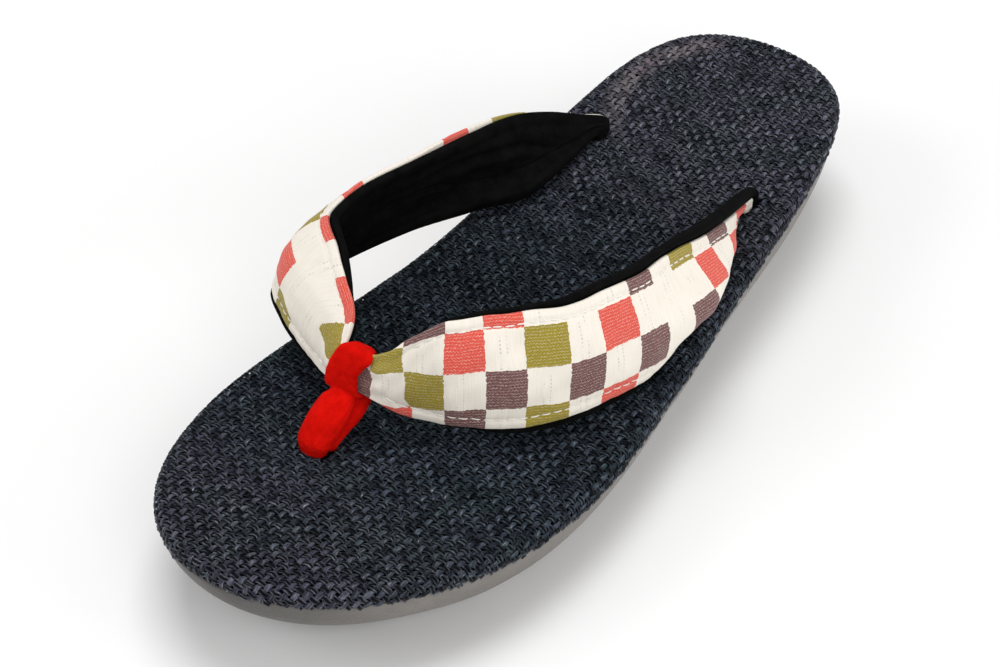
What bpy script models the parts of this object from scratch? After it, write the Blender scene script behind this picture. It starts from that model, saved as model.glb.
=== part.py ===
"""Left zori sandal, 245 mm long, standing on its sole.

Toe towards -Y, heel towards +Y, the outer (lateral) side towards +X, up is +Z.
The origin lies on the floor, under the middle of the sandal's length and width.
"""
import math

import bmesh
import bpy
import numpy as np

# Driving dimensions, in metres
MM = 0.001
LENGTH = 245 * MM
MIDDLE_X = -0.451 * MM    # the tables' x where the middle of the width lies
GAP = 0.3 * MM            # between pieces that meet
EDGE = 4.4 * MM           # height of the woven edge above the sole
EDGE_ROUND = 2.6 * MM     # radius of the woven edge
SOLE_STEP = 0.5 * MM      # the sole stands in from the woven edge
SOLE_ROUND = 1.2 * MM     # at the edge of the underside
WALL_CURVE = 1.65         # 1 is a straight sole wall, more is fuller like a boat
TOE_SPRING = 5.0 * MM
HEEL_SPRING = 1.0 * MM
ARCH_HEIGHT = 1.6 * MM
COVER_WALL = 1.2 * MM     # printed cloth with its backing
LINING_EDGE = 1.7 * MM    # padded lining at the edges of the strap
LINING_PUFF = 2.5 * MM    # more than that in the middle
RIM_REVEAL = 0.7 * MM     # lining that shows beyond the printed cloth
EDGE_ROLL = 0.5 * MM      # rounding at the edges of cloth and lining
TIE_X = -9.5 * MM         # middle of the toe tie
TIE_REACH = 12 * MM

# Stretches of the underside, along the sandal
TOE_BREAK = -58 * MM
HEEL_BREAK = 96 * MM
ARCH_FROM, ARCH_TO = -12 * MM, 58 * MM

# How finely the surfaces are cut
OUTLINE_POINTS = 72
BED_COLUMNS = 8
ARM_STATIONS = 30
STRAP_COLUMNS = 10
POST_POINTS = 20

# Plan of the woven top, in mm. half is the half width before the ends are rounded,
# rim the height of the sole's upper edge, crown the swelling of the woven top,
# inset how far the underside stands in.
PLAN_COLUMNS = ("along", "centre", "half", "rim", "crown", "inset")
PLAN = (
    (-122.5, -2.6, 62.6, 28.6, 0.4, 20.0),
    (-98.0, -1.4, 57.9, 24.1, 0.9, 16.0),
    (-73.5, 0.7, 54.1, 21.3, 1.3, 11.5),
    (-49.0, 2.9, 49.1, 20.4, 1.2, 9.5),
    (-24.5, 4.6, 43.4, 20.7, 0.6, 10.0),
    (0.0, 4.8, 39.4, 21.9, 0.0, 11.0),
    (24.5, 3.6, 38.1, 23.6, -0.5, 11.0),
    (49.0, 1.3, 40.0, 25.8, -0.9, 10.0),
    (73.5, -0.2, 43.6, 27.9, -1.2, 9.0),
    (98.0, -1.5, 51.4, 29.7, -1.1, 8.6),
    (122.5, -1.8, 67.5, 30.8, -0.5, 9.0),
)

# The two arms of the strap, from the toe tie to the footbed, in mm. Each row is a
# section of the printed face: its upper and its lower edge with their heights above
# the woven top, how far it bulges outwards, where down the face it bulges most
# (0.5 is half way), and the share of the full padding behind it.
ARM_COLUMNS = ("top_x", "top_y", "top_up", "low_x", "low_y", "low_up",
               "bulge", "belly", "pad")
OUTER_ARM = (
    (-9.5, -60.4, 21.4, -9.5, -63.2, 12.2, 0.6, 0.5, 0.5),
    (-2.9, -60.4, 21.4, -2.9, -63.2, 12.2, 0.6, 0.5, 0.5),
    (3.4, -55.6, 27.4, 5.0, -60.0, 8.8, 1.4, 0.5, 0.9),
    (11.0, -50.6, 33.0, 15.0, -56.0, 8.6, 2.2, 0.5, 1.0),
    (21.5, -36.6, 33.2, 28.1, -43.9, 6.7, 2.4, 0.5, 1.0),
    (29.4, -19.5, 30.8, 36.8, -25.7, 5.6, 2.8, 0.5, 1.0),
    (32.8, -1.3, 26.2, 40.0, -6.2, 2.7, 4.4, 0.6, 1.0),
    (32.8, 17.5, 20.9, 36.8, 14.0, 2.2, 7.4, 0.68, 1.0),
    (31.7, 36.2, 14.4, 28.4, 33.6, 2.2, 6.2, 0.65, 0.9),
    (28.4, 53.0, 6.6, 24.6, 48.6, 2.2, 2.2, 0.6, 0.7),
    (26.7, 62.2, 1.6, 25.9, 55.8, 1.2, 0.3, 0.5, 0.4),
    (26.7, 62.4, -3.1, 25.9, 56.0, -3.1, 0.3, 0.5, 0.4),
)
INNER_ARM = (
    (-9.5, -60.4, 21.4, -9.5, -63.2, 12.2, 0.6, 0.5, 0.5),
    (-12.6, -60.4, 21.4, -15.2, -63.2, 12.2, 0.6, 0.5, 0.5),
    (-14.4, -55.8, 25.8, -20.6, -60.8, 11.0, 1.8, 0.5, 0.9),
    (-20.0, -50.8, 30.2, -28.4, -57.0, 10.4, 2.8, 0.5, 1.0),
    (-27.8, -43.6, 32.6, -39.4, -50.8, 10.4, 3.4, 0.5, 1.0),
    (-37.0, -35.0, 33.8, -49.2, -41.4, 10.6, 3.2, 0.5, 1.0),
    (-40.0, -18.4, 31.2, -44.0, -22.6, 10.0, 3.2, 0.5, 1.0),
    (-37.8, 0.0, 27.8, -39.2, -4.6, 7.8, 3.4, 0.55, 1.0),
    (-36.8, 19.0, 22.6, -31.8, 15.6, 3.4, 5.0, 0.65, 1.0),
    (-34.4, 37.4, 16.4, -22.8, 31.2, 2.2, 5.2, 0.65, 0.9),
    (-27.8, 56.0, 7.4, -21.4, 50.6, 2.2, 2.2, 0.6, 0.7),
    (-23.6, 66.2, 1.6, -22.4, 59.8, 1.2, 0.3, 0.5, 0.4),
    (-23.6, 66.4, -3.1, -22.4, 60.0, -3.1, 0.3, 0.5, 0.4),
)

# The rolled tie round the strap, in mm: how far its section stands from its middle
# at the front and at the back, and its wall there
WRAP_COLUMNS = ("front", "back", "wall")
WRAP = (
    (-6.0, -1.2, 1.0),
    (-5.4, -0.7, 1.7),
    (-3.6, 0.3, 2.2),
    (0.0, 1.4, 2.1),
    (3.6, 2.8, 2.2),
    (5.3, 3.8, 1.7),
    (5.9, 4.3, 1.0),
)

# The post of the tie, from the strap down into the footbed, in mm:
# its middle, the height above the woven top, and its half width and half depth.
POST_COLUMNS = ("x", "y", "up", "half_x", "half_y")
POST = (
    (-9.8, -63.4, 11.0, 4.4, 2.8),
    (-10.2, -66.0, 8.6, 5.2, 3.8),
    (-10.2, -69.8, 5.6, 5.4, 4.2),
    (-9.8, -73.6, 2.6, 5.2, 4.2),
    (-9.5, -75.9, 0.6, 4.5, 3.5),
    (-9.5, -76.0, -2.0, 4.5, 3.5),
    (-9.5, -76.0, -5.0, 4.5, 3.5),
)

# Colour and roughness of each piece
LOOKS = {
    "sole": ((0.030, 0.028, 0.027), 0.78),
    "footbed": ((0.022, 0.028, 0.050), 0.36),
    "strap_lining": ((0.008, 0.008, 0.010), 0.90),
    "strap_cover": ((0.80, 0.74, 0.62), 0.85),
    "toe_tie": ((0.55, 0.020, 0.016), 0.90),
}


def column(table, names, name):
    """One named column of a table, in mm."""
    return np.array([row[names.index(name)] for row in table], dtype=float)


def through(knots, values, at):
    """Smooth curve through values at knots that never swings beyond them."""
    secants = np.diff(values) / np.diff(knots)
    slopes = np.zeros(len(values))
    slopes[0], slopes[-1] = secants[0], secants[-1]
    before, after = secants[:-1], secants[1:]
    same = before * after > 0
    slopes[1:-1][same] = 2 * before[same] * after[same] / (before[same] + after[same])
    at = np.clip(np.asarray(at, dtype=float), knots[0], knots[-1])
    cell = np.clip(np.searchsorted(knots, at) - 1, 0, len(knots) - 2)
    span = knots[cell + 1] - knots[cell]
    t = (at - knots[cell]) / span
    return ((2 * t**3 - 3 * t**2 + 1) * values[cell]
            + (t**3 - 2 * t**2 + t) * span * slopes[cell]
            + (3 * t**2 - 2 * t**3) * values[cell + 1]
            + (t**3 - t**2) * span * slopes[cell + 1])


def plan(name, along):
    """A column of the plan at places along the sandal, all in metres."""
    knots = column(PLAN, PLAN_COLUMNS, "along") * MM
    return through(knots, column(PLAN, PLAN_COLUMNS, name) * MM, along)


def half_width(along):
    """Half the width of the woven top: the plan's half with elliptical ends."""
    share = np.clip(2 * np.asarray(along) / LENGTH, -1, 1)
    return plan("half", along) * np.sqrt(1 - share**2)


def bed_top(x, y):
    """Height of the woven top: the rim, and a crown that fades towards the edge."""
    across = (x - plan("centre", y)) / np.maximum(half_width(y), MM)
    return plan("rim", y) + EDGE + plan("crown", y) * (1 - np.clip(across**2, 0, 1))


def sole_top(x, y):
    """Height of the sole's upper face, level across."""
    return plan("rim", y) + 0 * x


def underside(x, y):
    """Height of the underside: two flats, with toe spring, arch and heel spring."""
    toe = np.clip((TOE_BREAK - y) / (TOE_BREAK + LENGTH / 2), 0, 1)
    heel = np.clip((y - HEEL_BREAK) / (LENGTH / 2 - HEEL_BREAK), 0, 1)
    arch = np.clip((y - ARCH_FROM) / (ARCH_TO - ARCH_FROM), 0, 1)
    height = TOE_SPRING * toe**2 + HEEL_SPRING * heel**2
    return height + ARCH_HEIGHT * np.sin(math.pi * arch)**2 + 0 * x


def moved(a, b, distance):
    """A closed counter-clockwise loop moved outwards by a distance at each point."""
    run_a, run_b = np.roll(a, -1) - np.roll(a, 1), np.roll(b, -1) - np.roll(b, 1)
    length = np.hypot(run_a, run_b)
    return a + run_b / length * distance, b - run_a / length * distance


def outline():
    """Plan outline of the woven top, from the toe along the outer side and back."""
    angle = np.linspace(0, 2 * math.pi, OUTLINE_POINTS, endpoint=False)
    y = -LENGTH / 2 * np.cos(angle)
    return plan("centre", y) + plan("half", y) * np.sin(angle), y


def ring_below(inset, height, drop=0.0):
    """The outline moved in by inset, at a height given as a function of x and y."""
    x, y = moved(*outline(), -inset)
    return np.stack([x, y, height(x, y) + drop], axis=1)


def mesh_object(name, points, faces, collection):
    """An object from points and faces, with its normals facing out."""
    mesh = bpy.data.meshes.new(name)
    placed = np.asarray(points) - (MIDDLE_X, 0, 0)
    mesh.from_pydata(placed.tolist(), [], faces)
    shell = bmesh.new()
    shell.from_mesh(mesh)
    bmesh.ops.recalc_face_normals(shell, faces=shell.faces)
    shell.to_mesh(mesh)
    shell.free()
    made = bpy.data.objects.new(name, mesh)
    collection.objects.link(made)
    return made


def walls(rings, count, split=False):
    """Faces between rings of count points that follow one another.

    Split faces have their diagonals alike on the front and on the back of a
    section, so that the faces of two layers which lie close together match."""
    faces = []
    for level in range(rings - 1):
        low, high = level * count, (level + 1) * count
        for index in range(count):
            follow = (index + 1) % count
            a, b, c, d = low + index, low + follow, high + follow, high + index
            if not split:
                faces.append((a, b, c, d))
            elif index < count // 2:
                faces += [(a, b, c), (a, c, d)]
            else:
                faces += [(a, b, d), (b, c, d)]
    return faces


def capped(rings, under, over):
    """Points and faces of a stack of outline rings, closed below and above.

    The caps are rows of points across, at the heights under(x, y) and over(x, y)."""
    half = OUTLINE_POINTS // 2
    points = np.concatenate(rings)
    faces = walls(len(rings), OUTLINE_POINTS)
    share = np.linspace(0, 1, BED_COLUMNS + 1)[1:-1, None]
    for ring_start, ring, height in ((0, rings[0], under),
                                     (len(points) - OUTLINE_POINTS, rings[-1], over)):
        rows = [[ring_start] * (BED_COLUMNS + 1)]
        for index in range(1, half):
            outer, inner = ring[index], ring[-index]
            row = outer + (inner - outer) * share
            row[:, 2] = height(row[:, 0], row[:, 1])
            first = len(points)
            points = np.concatenate([points, row])
            rows.append([ring_start + index, *range(first, len(points)),
                         ring_start + OUTLINE_POINTS - index])
        rows.append([ring_start + half] * (BED_COLUMNS + 1))
        for here, there in zip(rows, rows[1:]):
            for step in range(BED_COLUMNS):
                corners = (here[step], there[step], there[step + 1], here[step + 1])
                faces.append(tuple(dict.fromkeys(corners)))
    return points, faces


def loft(name, sections, collection, split=False):
    """A solid through closed sections with the same number of points."""
    count = len(sections[0])
    faces = walls(len(sections), count, split)
    last = (len(sections) - 1) * count
    faces += [tuple(range(count)), tuple(range(last, last + count))]
    return mesh_object(name, np.concatenate(sections), faces, collection)


def sole(collection):
    """The moulded wedge, with a wall that runs in towards the underside like a boat."""
    x, y = outline()
    inset = plan("inset", y)
    foot = ring_below(inset + SOLE_STEP, underside)
    edge = ring_below(SOLE_STEP, sole_top)
    rings = [ring_below(inset + SOLE_STEP + SOLE_ROUND, underside)]
    for down in (1.0, 0.84, 0.66, 0.48, 0.3, 0.14, 0.0):
        side = ring_below(SOLE_STEP + inset * down**WALL_CURVE, sole_top)
        side[:, 2] = edge[:, 2] + (foot[:, 2] + SOLE_ROUND - edge[:, 2]) * down
        rings.append(side)
    return mesh_object("sole", *capped(rings, underside, sole_top), collection)


def footbed(collection, cutters):
    """The woven board with its rounded edge, and the holes for strap and tie."""
    rings = [ring_below(EDGE_ROUND / 3, sole_top, GAP),
             ring_below(0, sole_top, GAP + EDGE_ROUND / 3)]
    for angle in np.radians((0, 30, 60, 90)):
        rings.append(ring_below(EDGE_ROUND * (1 - math.cos(angle)), bed_top,
                                EDGE_ROUND * (math.sin(angle) - 1)))
    board = mesh_object("footbed", *capped(rings, lambda a, b: sole_top(a, b) + GAP, bed_top),
                        collection)
    for name, section in (("outer_slot", strap_sections("both")[0]),
                          ("inner_slot", strap_sections("both")[-1]),
                          ("post_hole", post_sections()[-1])):
        x, y = grown(section[:, 0], section[:, 1], GAP)
        reach = 12 * MM
        ends = [np.stack([x, y, section[:, 2] + side], axis=1) for side in (-reach, reach)]
        cut(board, loft(name, ends, cutters), "DIFFERENCE")
    return board


def grown(a, b, distance):
    """A closed loop moved outwards, whichever way round it runs."""
    area = np.sum(a * np.roll(b, -1) - b * np.roll(a, -1))
    return moved(a, b, distance if area > 0 else -distance)


def arm_knots(table):
    """How far along an arm each of its rows lies, as a share of its length."""
    values = {name: column(table, ARM_COLUMNS, name) for name in ARM_COLUMNS}
    middle = np.stack([values["top_" + axis] + values["low_" + axis]
                       for axis in ("x", "y", "up")], axis=1) / 2
    run = np.concatenate([[0], np.cumsum(np.linalg.norm(np.diff(middle, axis=0), axis=1))])
    return run / run[-1]


def arm_rows(table, at):
    """An arm's upper and lower edges and its other columns at shares of its length."""
    knots = arm_knots(table)
    found = {name: through(knots, column(table, ARM_COLUMNS, name), at)
             for name in ARM_COLUMNS}
    ends = []
    for edge in ("top", "low"):
        x, y = found[edge + "_x"] * MM, found[edge + "_y"] * MM
        ends.append(np.stack([x, y, bed_top(x, y) + found[edge + "_up"] * MM], axis=1))
    return ends[0], ends[1], found["bulge"] * MM, found["belly"], found["pad"]


def strap_rows():
    """Both arms as one run, from the outer end through the tie to the inner end.

    Beside the rows of each arm comes the way that the strap runs there."""
    arms = []
    for table, sign in ((OUTER_ARM, -1), (INNER_ARM, 1)):
        tie_end = arm_knots(table)[1]
        at = np.concatenate([[0], np.linspace(tie_end, 1, ARM_STATIONS)])
        before, after = arm_rows(table, at - 0.001), arm_rows(table, at + 0.001)
        run = unit(after[0] + after[1] - before[0] - before[1]) * sign
        arms.append([*arm_rows(table, at), run])
    outer, inner = arms
    return [np.concatenate([far[::-1], near[1:]]) for far, near in zip(outer, inner)]


def unit(vectors):
    """Vectors of length one."""
    return vectors / np.linalg.norm(vectors, axis=1, keepdims=True)


def strap_sections(layer):
    """Closed sections of the printed cover, of its lining, or of both together.

    Each is drawn flat first: down along the face, and out from the foot."""
    top, low, bulge, belly, pad, run = strap_rows()
    down = unit(low - top)
    out = unit(np.cross(run, down))
    length = np.linalg.norm(low - top, axis=1)
    share = np.linspace(0, 1, STRAP_COLUMNS + 1)
    behind = COVER_WALL + GAP
    reveal = 0 if layer == "cover" else RIM_REVEAL
    sections = []
    for row in range(len(top)):
        swell = np.sin(math.pi * share**(math.log(0.5) / math.log(belly[row])))
        face = np.stack([share * length[row], swell * bulge[row]], axis=1)
        way = unit(np.gradient(face, axis=0))
        side = np.stack([-way[:, 1], way[:, 0]], axis=1)
        puff = (LINING_EDGE + LINING_PUFF * (1 - np.abs(2 * share - 1)**2.2)) * pad[row]
        near, far = {"cover": (0, 0 * share + COVER_WALL), "lining": (behind, behind + puff),
                     "both": (0, behind + puff)}[layer]
        front, back = face - side * near, face - side * far[:, None]
        tip = 0.5 * COVER_WALL if layer == "cover" else behind + 0.5 * puff[0]
        low_tip = face[-1] - side[-1] * tip + way[-1] * (EDGE_ROLL + reveal)
        top_tip = face[0] - side[0] * tip - way[0] * (EDGE_ROLL + reveal)
        for line in (front, back):
            line[0] -= way[0] * reveal
            line[-1] += way[-1] * reveal
        flat = np.concatenate([front, [low_tip], back[::-1], [top_tip]])
        sections.append(top[row] + flat[:, :1] * down[row] + flat[:, 1:] * out[row])
    return sections


def post_sections():
    """Level oval sections of the post, from inside the wrap down into the footbed."""
    angle = np.linspace(0, 2 * math.pi, POST_POINTS, endpoint=False)
    sections = []
    for x, y, up, half_x, half_y in POST:
        height = bed_top(np.array([x * MM]), np.array([y * MM]))[0] + up * MM
        sections.append(np.stack([(x + half_x * np.cos(angle)) * MM,
                                  (y + half_y * np.sin(angle)) * MM,
                                  height + 0 * angle], axis=1))
    return sections


def toe_tie(collection, cutters):
    """The rolled wrap round the strap, joined with the post, with the strap's hole."""
    core = strap_sections("both")[ARM_STATIONS]
    rings = []
    for front, back, wall in WRAP:
        y, z = grown(core[:, 1], core[:, 2], GAP + wall * MM)
        depth = (y - y.min()) / (y.max() - y.min())
        rings.append(np.stack([TIE_X + (front + (back - front) * depth) * MM, y, z], axis=1))
    tie = loft("toe_tie", rings, collection)
    cut(tie, loft("post", post_sections(), cutters), "UNION")
    y, z = grown(core[:, 1], core[:, 2], 1.3 * GAP)
    ends = [np.stack([TIE_X + side * TIE_REACH + 0 * y, y, z], axis=1) for side in (-1, 1)]
    cut(tie, loft("strap_way", ends, cutters), "DIFFERENCE")
    return tie


def cut(target, tool, operation):
    """A boolean modifier on target with tool as its operand."""
    tool.hide_render = True
    tool.display_type = "WIRE"
    made = target.modifiers.new(tool.name, "BOOLEAN")
    made.operation = operation
    made.solver = "EXACT"
    made.object = tool


def paint(made):
    """The object's own material, named after it."""
    colour, roughness = LOOKS[made.name]
    material = bpy.data.materials.new(made.name)
    material.use_nodes = True
    shader = material.node_tree.nodes["Principled BSDF"]
    shader.inputs["Base Color"].default_value = (*colour, 1)
    shader.inputs["Roughness"].default_value = roughness
    shader.inputs["Metallic"].default_value = 0.0
    made.data.materials.append(material)


def main():
    """Clear the scene and build the sandal."""
    for old in list(bpy.data.objects):
        bpy.data.objects.remove(old)
    pieces = bpy.data.collections.new("zori_sandal")
    cutters = bpy.data.collections.new("cutters")
    for collection in (pieces, cutters):
        bpy.context.scene.collection.children.link(collection)
    made = [sole(pieces), footbed(pieces, cutters),
            loft("strap_lining", strap_sections("lining"), pieces, split=True),
            loft("strap_cover", strap_sections("cover"), pieces, split=True),
            toe_tie(pieces, cutters)]
    for piece in made:
        paint(piece)


if __name__ == "__main__":
    main()
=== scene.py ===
"""Left zori sandal, 245 mm long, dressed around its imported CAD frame.

Toe towards -Y, heel towards +Y, the outer side of the foot towards +X, up is +Z.
The tables hold millimetres, and the meshes are made in metres. A shape is worked
out as whole arrays: a grid of points from two parameters, or a profile along a run.
"""

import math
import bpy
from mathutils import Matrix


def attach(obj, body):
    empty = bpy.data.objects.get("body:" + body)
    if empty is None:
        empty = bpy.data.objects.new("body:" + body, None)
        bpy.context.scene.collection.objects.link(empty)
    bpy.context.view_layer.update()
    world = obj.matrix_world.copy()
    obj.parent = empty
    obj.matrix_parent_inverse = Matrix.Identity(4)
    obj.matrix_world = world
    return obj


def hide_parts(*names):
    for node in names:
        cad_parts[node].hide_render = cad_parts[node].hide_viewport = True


bl_info = {
    "name": "Zori sandal",
    "version": (1, 0, 0),
    "blender": (4, 5, 0),
    "location": "View3D > Sidebar > Sandal",
    "description": "A zori with a woven footbed and a printed strap, around its packed frame",
    "category": "Add Mesh",
}

import bpy
import numpy as np
from bpy.props import FloatProperty, FloatVectorProperty, IntProperty, PointerProperty
from mathutils import Matrix, Vector

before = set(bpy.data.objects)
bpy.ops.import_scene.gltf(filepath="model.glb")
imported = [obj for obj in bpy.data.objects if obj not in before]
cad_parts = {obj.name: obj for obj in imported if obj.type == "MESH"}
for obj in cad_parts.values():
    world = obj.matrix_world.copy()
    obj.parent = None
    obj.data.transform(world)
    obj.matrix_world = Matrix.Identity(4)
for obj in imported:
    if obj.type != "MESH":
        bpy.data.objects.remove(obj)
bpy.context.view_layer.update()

MM = 0.001
BODY = "root"

# ---------------------------------------------------------------- the sandal's form
LENGTH = 245 * MM
MIDDLE_X = -0.451 * MM    # the tables' x where the middle of the width lies
GAP = 0.3 * MM
EDGE = 4.4 * MM           # height of the woven edge above the sole
EDGE_ROUND = 2.6 * MM
SOLE_STEP = 0.5 * MM
SOLE_ROUND = 1.2 * MM
WALL_CURVE = 1.65
TOE_SPRING = 5.0 * MM
HEEL_SPRING = 1.0 * MM
ARCH_HEIGHT = 1.6 * MM
COVER_WALL = 1.2 * MM
LINING_EDGE = 1.7 * MM
LINING_PUFF = 2.5 * MM
RIM_REVEAL = 0.7 * MM
EDGE_ROLL = 0.5 * MM
TIE_X = -9.5 * MM
TOE_BREAK = -58 * MM
HEEL_BREAK = 96 * MM
ARCH_FROM, ARCH_TO = -12 * MM, 58 * MM

# Plan of the woven top: half is the half width before the ends are rounded, rim the
# height of the sole's upper edge, crown the swelling of the top, inset how far the
# underside stands in.
PLAN_COLUMNS = ("along", "centre", "half", "rim", "crown", "inset")
PLAN = (
    (-122.5, -2.6, 62.6, 28.6, 0.4, 20.0),
    (-98.0, -1.4, 57.9, 24.1, 0.9, 16.0),
    (-73.5, 0.7, 54.1, 21.3, 1.3, 11.5),
    (-49.0, 2.9, 49.1, 20.4, 1.2, 9.5),
    (-24.5, 4.6, 43.4, 20.7, 0.6, 10.0),
    (0.0, 4.8, 39.4, 21.9, 0.0, 11.0),
    (24.5, 3.6, 38.1, 23.6, -0.5, 11.0),
    (49.0, 1.3, 40.0, 25.8, -0.9, 10.0),
    (73.5, -0.2, 43.6, 27.9, -1.2, 9.0),
    (98.0, -1.5, 51.4, 29.7, -1.1, 8.6),
    (122.5, -1.8, 67.5, 30.8, -0.5, 9.0),
)

# The arms of the strap from the toe tie to the footbed: the upper and the lower edge
# of the printed face with heights above the woven top, how far it bulges outwards,
# where down the face it bulges most, and the share of the full padding behind it.
ARM_COLUMNS = ("top_x", "top_y", "top_up", "low_x", "low_y", "low_up",
               "bulge", "belly", "pad")
OUTER_ARM = (
    (-9.5, -60.4, 21.4, -9.5, -63.2, 12.2, 0.6, 0.5, 0.5),
    (-2.9, -60.4, 21.4, -2.9, -63.2, 12.2, 0.6, 0.5, 0.5),
    (3.4, -55.6, 27.4, 5.0, -60.0, 8.8, 1.4, 0.5, 0.9),
    (11.0, -50.6, 33.0, 15.0, -56.0, 8.6, 2.2, 0.5, 1.0),
    (21.5, -36.6, 33.2, 28.1, -43.9, 6.7, 2.4, 0.5, 1.0),
    (29.4, -19.5, 30.8, 36.8, -25.7, 5.6, 2.8, 0.5, 1.0),
    (32.8, -1.3, 26.2, 40.0, -6.2, 2.7, 4.4, 0.6, 1.0),
    (32.8, 17.5, 20.9, 36.8, 14.0, 2.2, 7.4, 0.68, 1.0),
    (31.7, 36.2, 14.4, 28.4, 33.6, 2.2, 6.2, 0.65, 0.9),
    (28.4, 53.0, 6.6, 24.6, 48.6, 2.2, 2.2, 0.6, 0.7),
    (26.7, 62.2, 1.6, 25.9, 55.8, 1.2, 0.3, 0.5, 0.4),
    (26.7, 62.4, -3.1, 25.9, 56.0, -3.1, 0.3, 0.5, 0.4),
)
INNER_ARM = (
    (-9.5, -60.4, 21.4, -9.5, -63.2, 12.2, 0.6, 0.5, 0.5),
    (-12.6, -60.4, 21.4, -15.2, -63.2, 12.2, 0.6, 0.5, 0.5),
    (-14.4, -55.8, 25.8, -20.6, -60.8, 11.0, 1.8, 0.5, 0.9),
    (-20.0, -50.8, 30.2, -28.4, -57.0, 10.4, 2.8, 0.5, 1.0),
    (-27.8, -43.6, 32.6, -39.4, -50.8, 10.4, 3.4, 0.5, 1.0),
    (-37.0, -35.0, 33.8, -49.2, -41.4, 10.6, 3.2, 0.5, 1.0),
    (-40.0, -18.4, 31.2, -44.0, -22.6, 10.0, 3.2, 0.5, 1.0),
    (-37.8, 0.0, 27.8, -39.2, -4.6, 7.8, 3.4, 0.55, 1.0),
    (-36.8, 19.0, 22.6, -31.8, 15.6, 3.4, 5.0, 0.65, 1.0),
    (-34.4, 37.4, 16.4, -22.8, 31.2, 2.2, 5.2, 0.65, 0.9),
    (-27.8, 56.0, 7.4, -21.4, 50.6, 2.2, 2.2, 0.6, 0.7),
    (-23.6, 66.2, 1.6, -22.4, 59.8, 1.2, 0.3, 0.5, 0.4),
    (-23.6, 66.4, -3.1, -22.4, 60.0, -3.1, 0.3, 0.5, 0.4),
)

# The rolled tie: how far its section stands from its middle at the front and at the
# back, and its wall there.
WRAP_COLUMNS = ("front", "back", "wall")
WRAP = (
    (-6.0, -1.2, 0.9),
    (-5.4, -0.7, 1.7),
    (-3.6, 0.3, 2.2),
    (0.2, 1.4, 2.3),
    (4.2, 2.8, 2.2),
    (6.4, 4.0, 1.7),
    (7.1, 4.5, 0.9),
)

# The height up the band, and the share of its width that its front loses there.
SLIM_COLUMNS = ("height", "lost")
WRAP_SLIM = (
    (0.0, 0.25),
    (0.35, 0.31),
    (0.55, 0.345),
    (0.74, 0.31),
    (0.85, 0.17),
    (0.94, 0.05),
    (1.0, 0.0),
)

# The two legs of the tie, from inside the wrap down into the footbed: the middle, the
# height above the woven top, the half width and the half depth.
LEG_COLUMNS = ("x", "y", "up", "half_x", "half_y")
FRONT_LEG = (
    (-9.8, -61.8, 14.0, 3.0, 1.8),
    (-9.8, -63.9, 11.0, 3.2, 2.2),
    (-10.2, -66.6, 8.8, 4.5, 3.3),
    (-10.6, -69.8, 5.8, 4.8, 3.8),
    (-10.9, -72.3, 3.2, 4.6, 3.8),
    (-11.0, -73.9, 1.4, 4.3, 3.9),
    (-11.0, -74.3, 0.3, 3.7, 3.2),
    (-11.0, -74.7, -2.4, 3.0, 2.5),
)
BACK_LEG = (
    (-6.6, -58.4, 12.5, 1.9, 1.7),
    (-6.7, -59.9, 10.4, 2.1, 1.9),
    (-6.9, -61.8, 8.0, 2.3, 2.1),
    (-7.4, -64.4, 5.4, 2.3, 2.2),
    (-8.3, -67.9, 2.8, 2.2, 2.1),
    (-8.9, -70.6, 0.6, 2.1, 2.0),
    (-9.2, -71.4, -2.4, 2.0, 1.9),
)

# Where the rows of printed squares lie on each arm: the distance of the first row's
# lower edge from the upper edge of the strap, and the height of a row.
PRINT_COLUMNS = ("along", "outer_first", "outer_pitch", "inner_first", "inner_pitch")
PRINT_ROWS = (
    (0.0, -7.9, 9.5, -0.2, 1.8),
    (4.0, -7.3, 9.1, 0.6, 3.4),
    (8.0, -6.8, 8.8, 1.3, 6.9),
    (14.0, -3.6, 9.9, 1.6, 8.8),
    (24.0, 1.4, 9.8, 2.2, 9.7),
    (34.0, 1.9, 9.8, 1.9, 9.5),
    (44.0, 3.4, 9.9, 2.0, 9.7),
    (55.0, 4.4, 10.0, 3.0, 10.0),
    (65.0, 3.8, 9.9, 3.4, 10.0),
    (85.0, 3.0, 9.9, 3.4, 10.0),
    (105.0, 3.3, 9.2, 3.4, 10.0),
    (126.0, 4.1, 8.6, 3.8, 10.0),
    (157.0, 5.4, 8.0, 5.0, 10.0),
)
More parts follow.
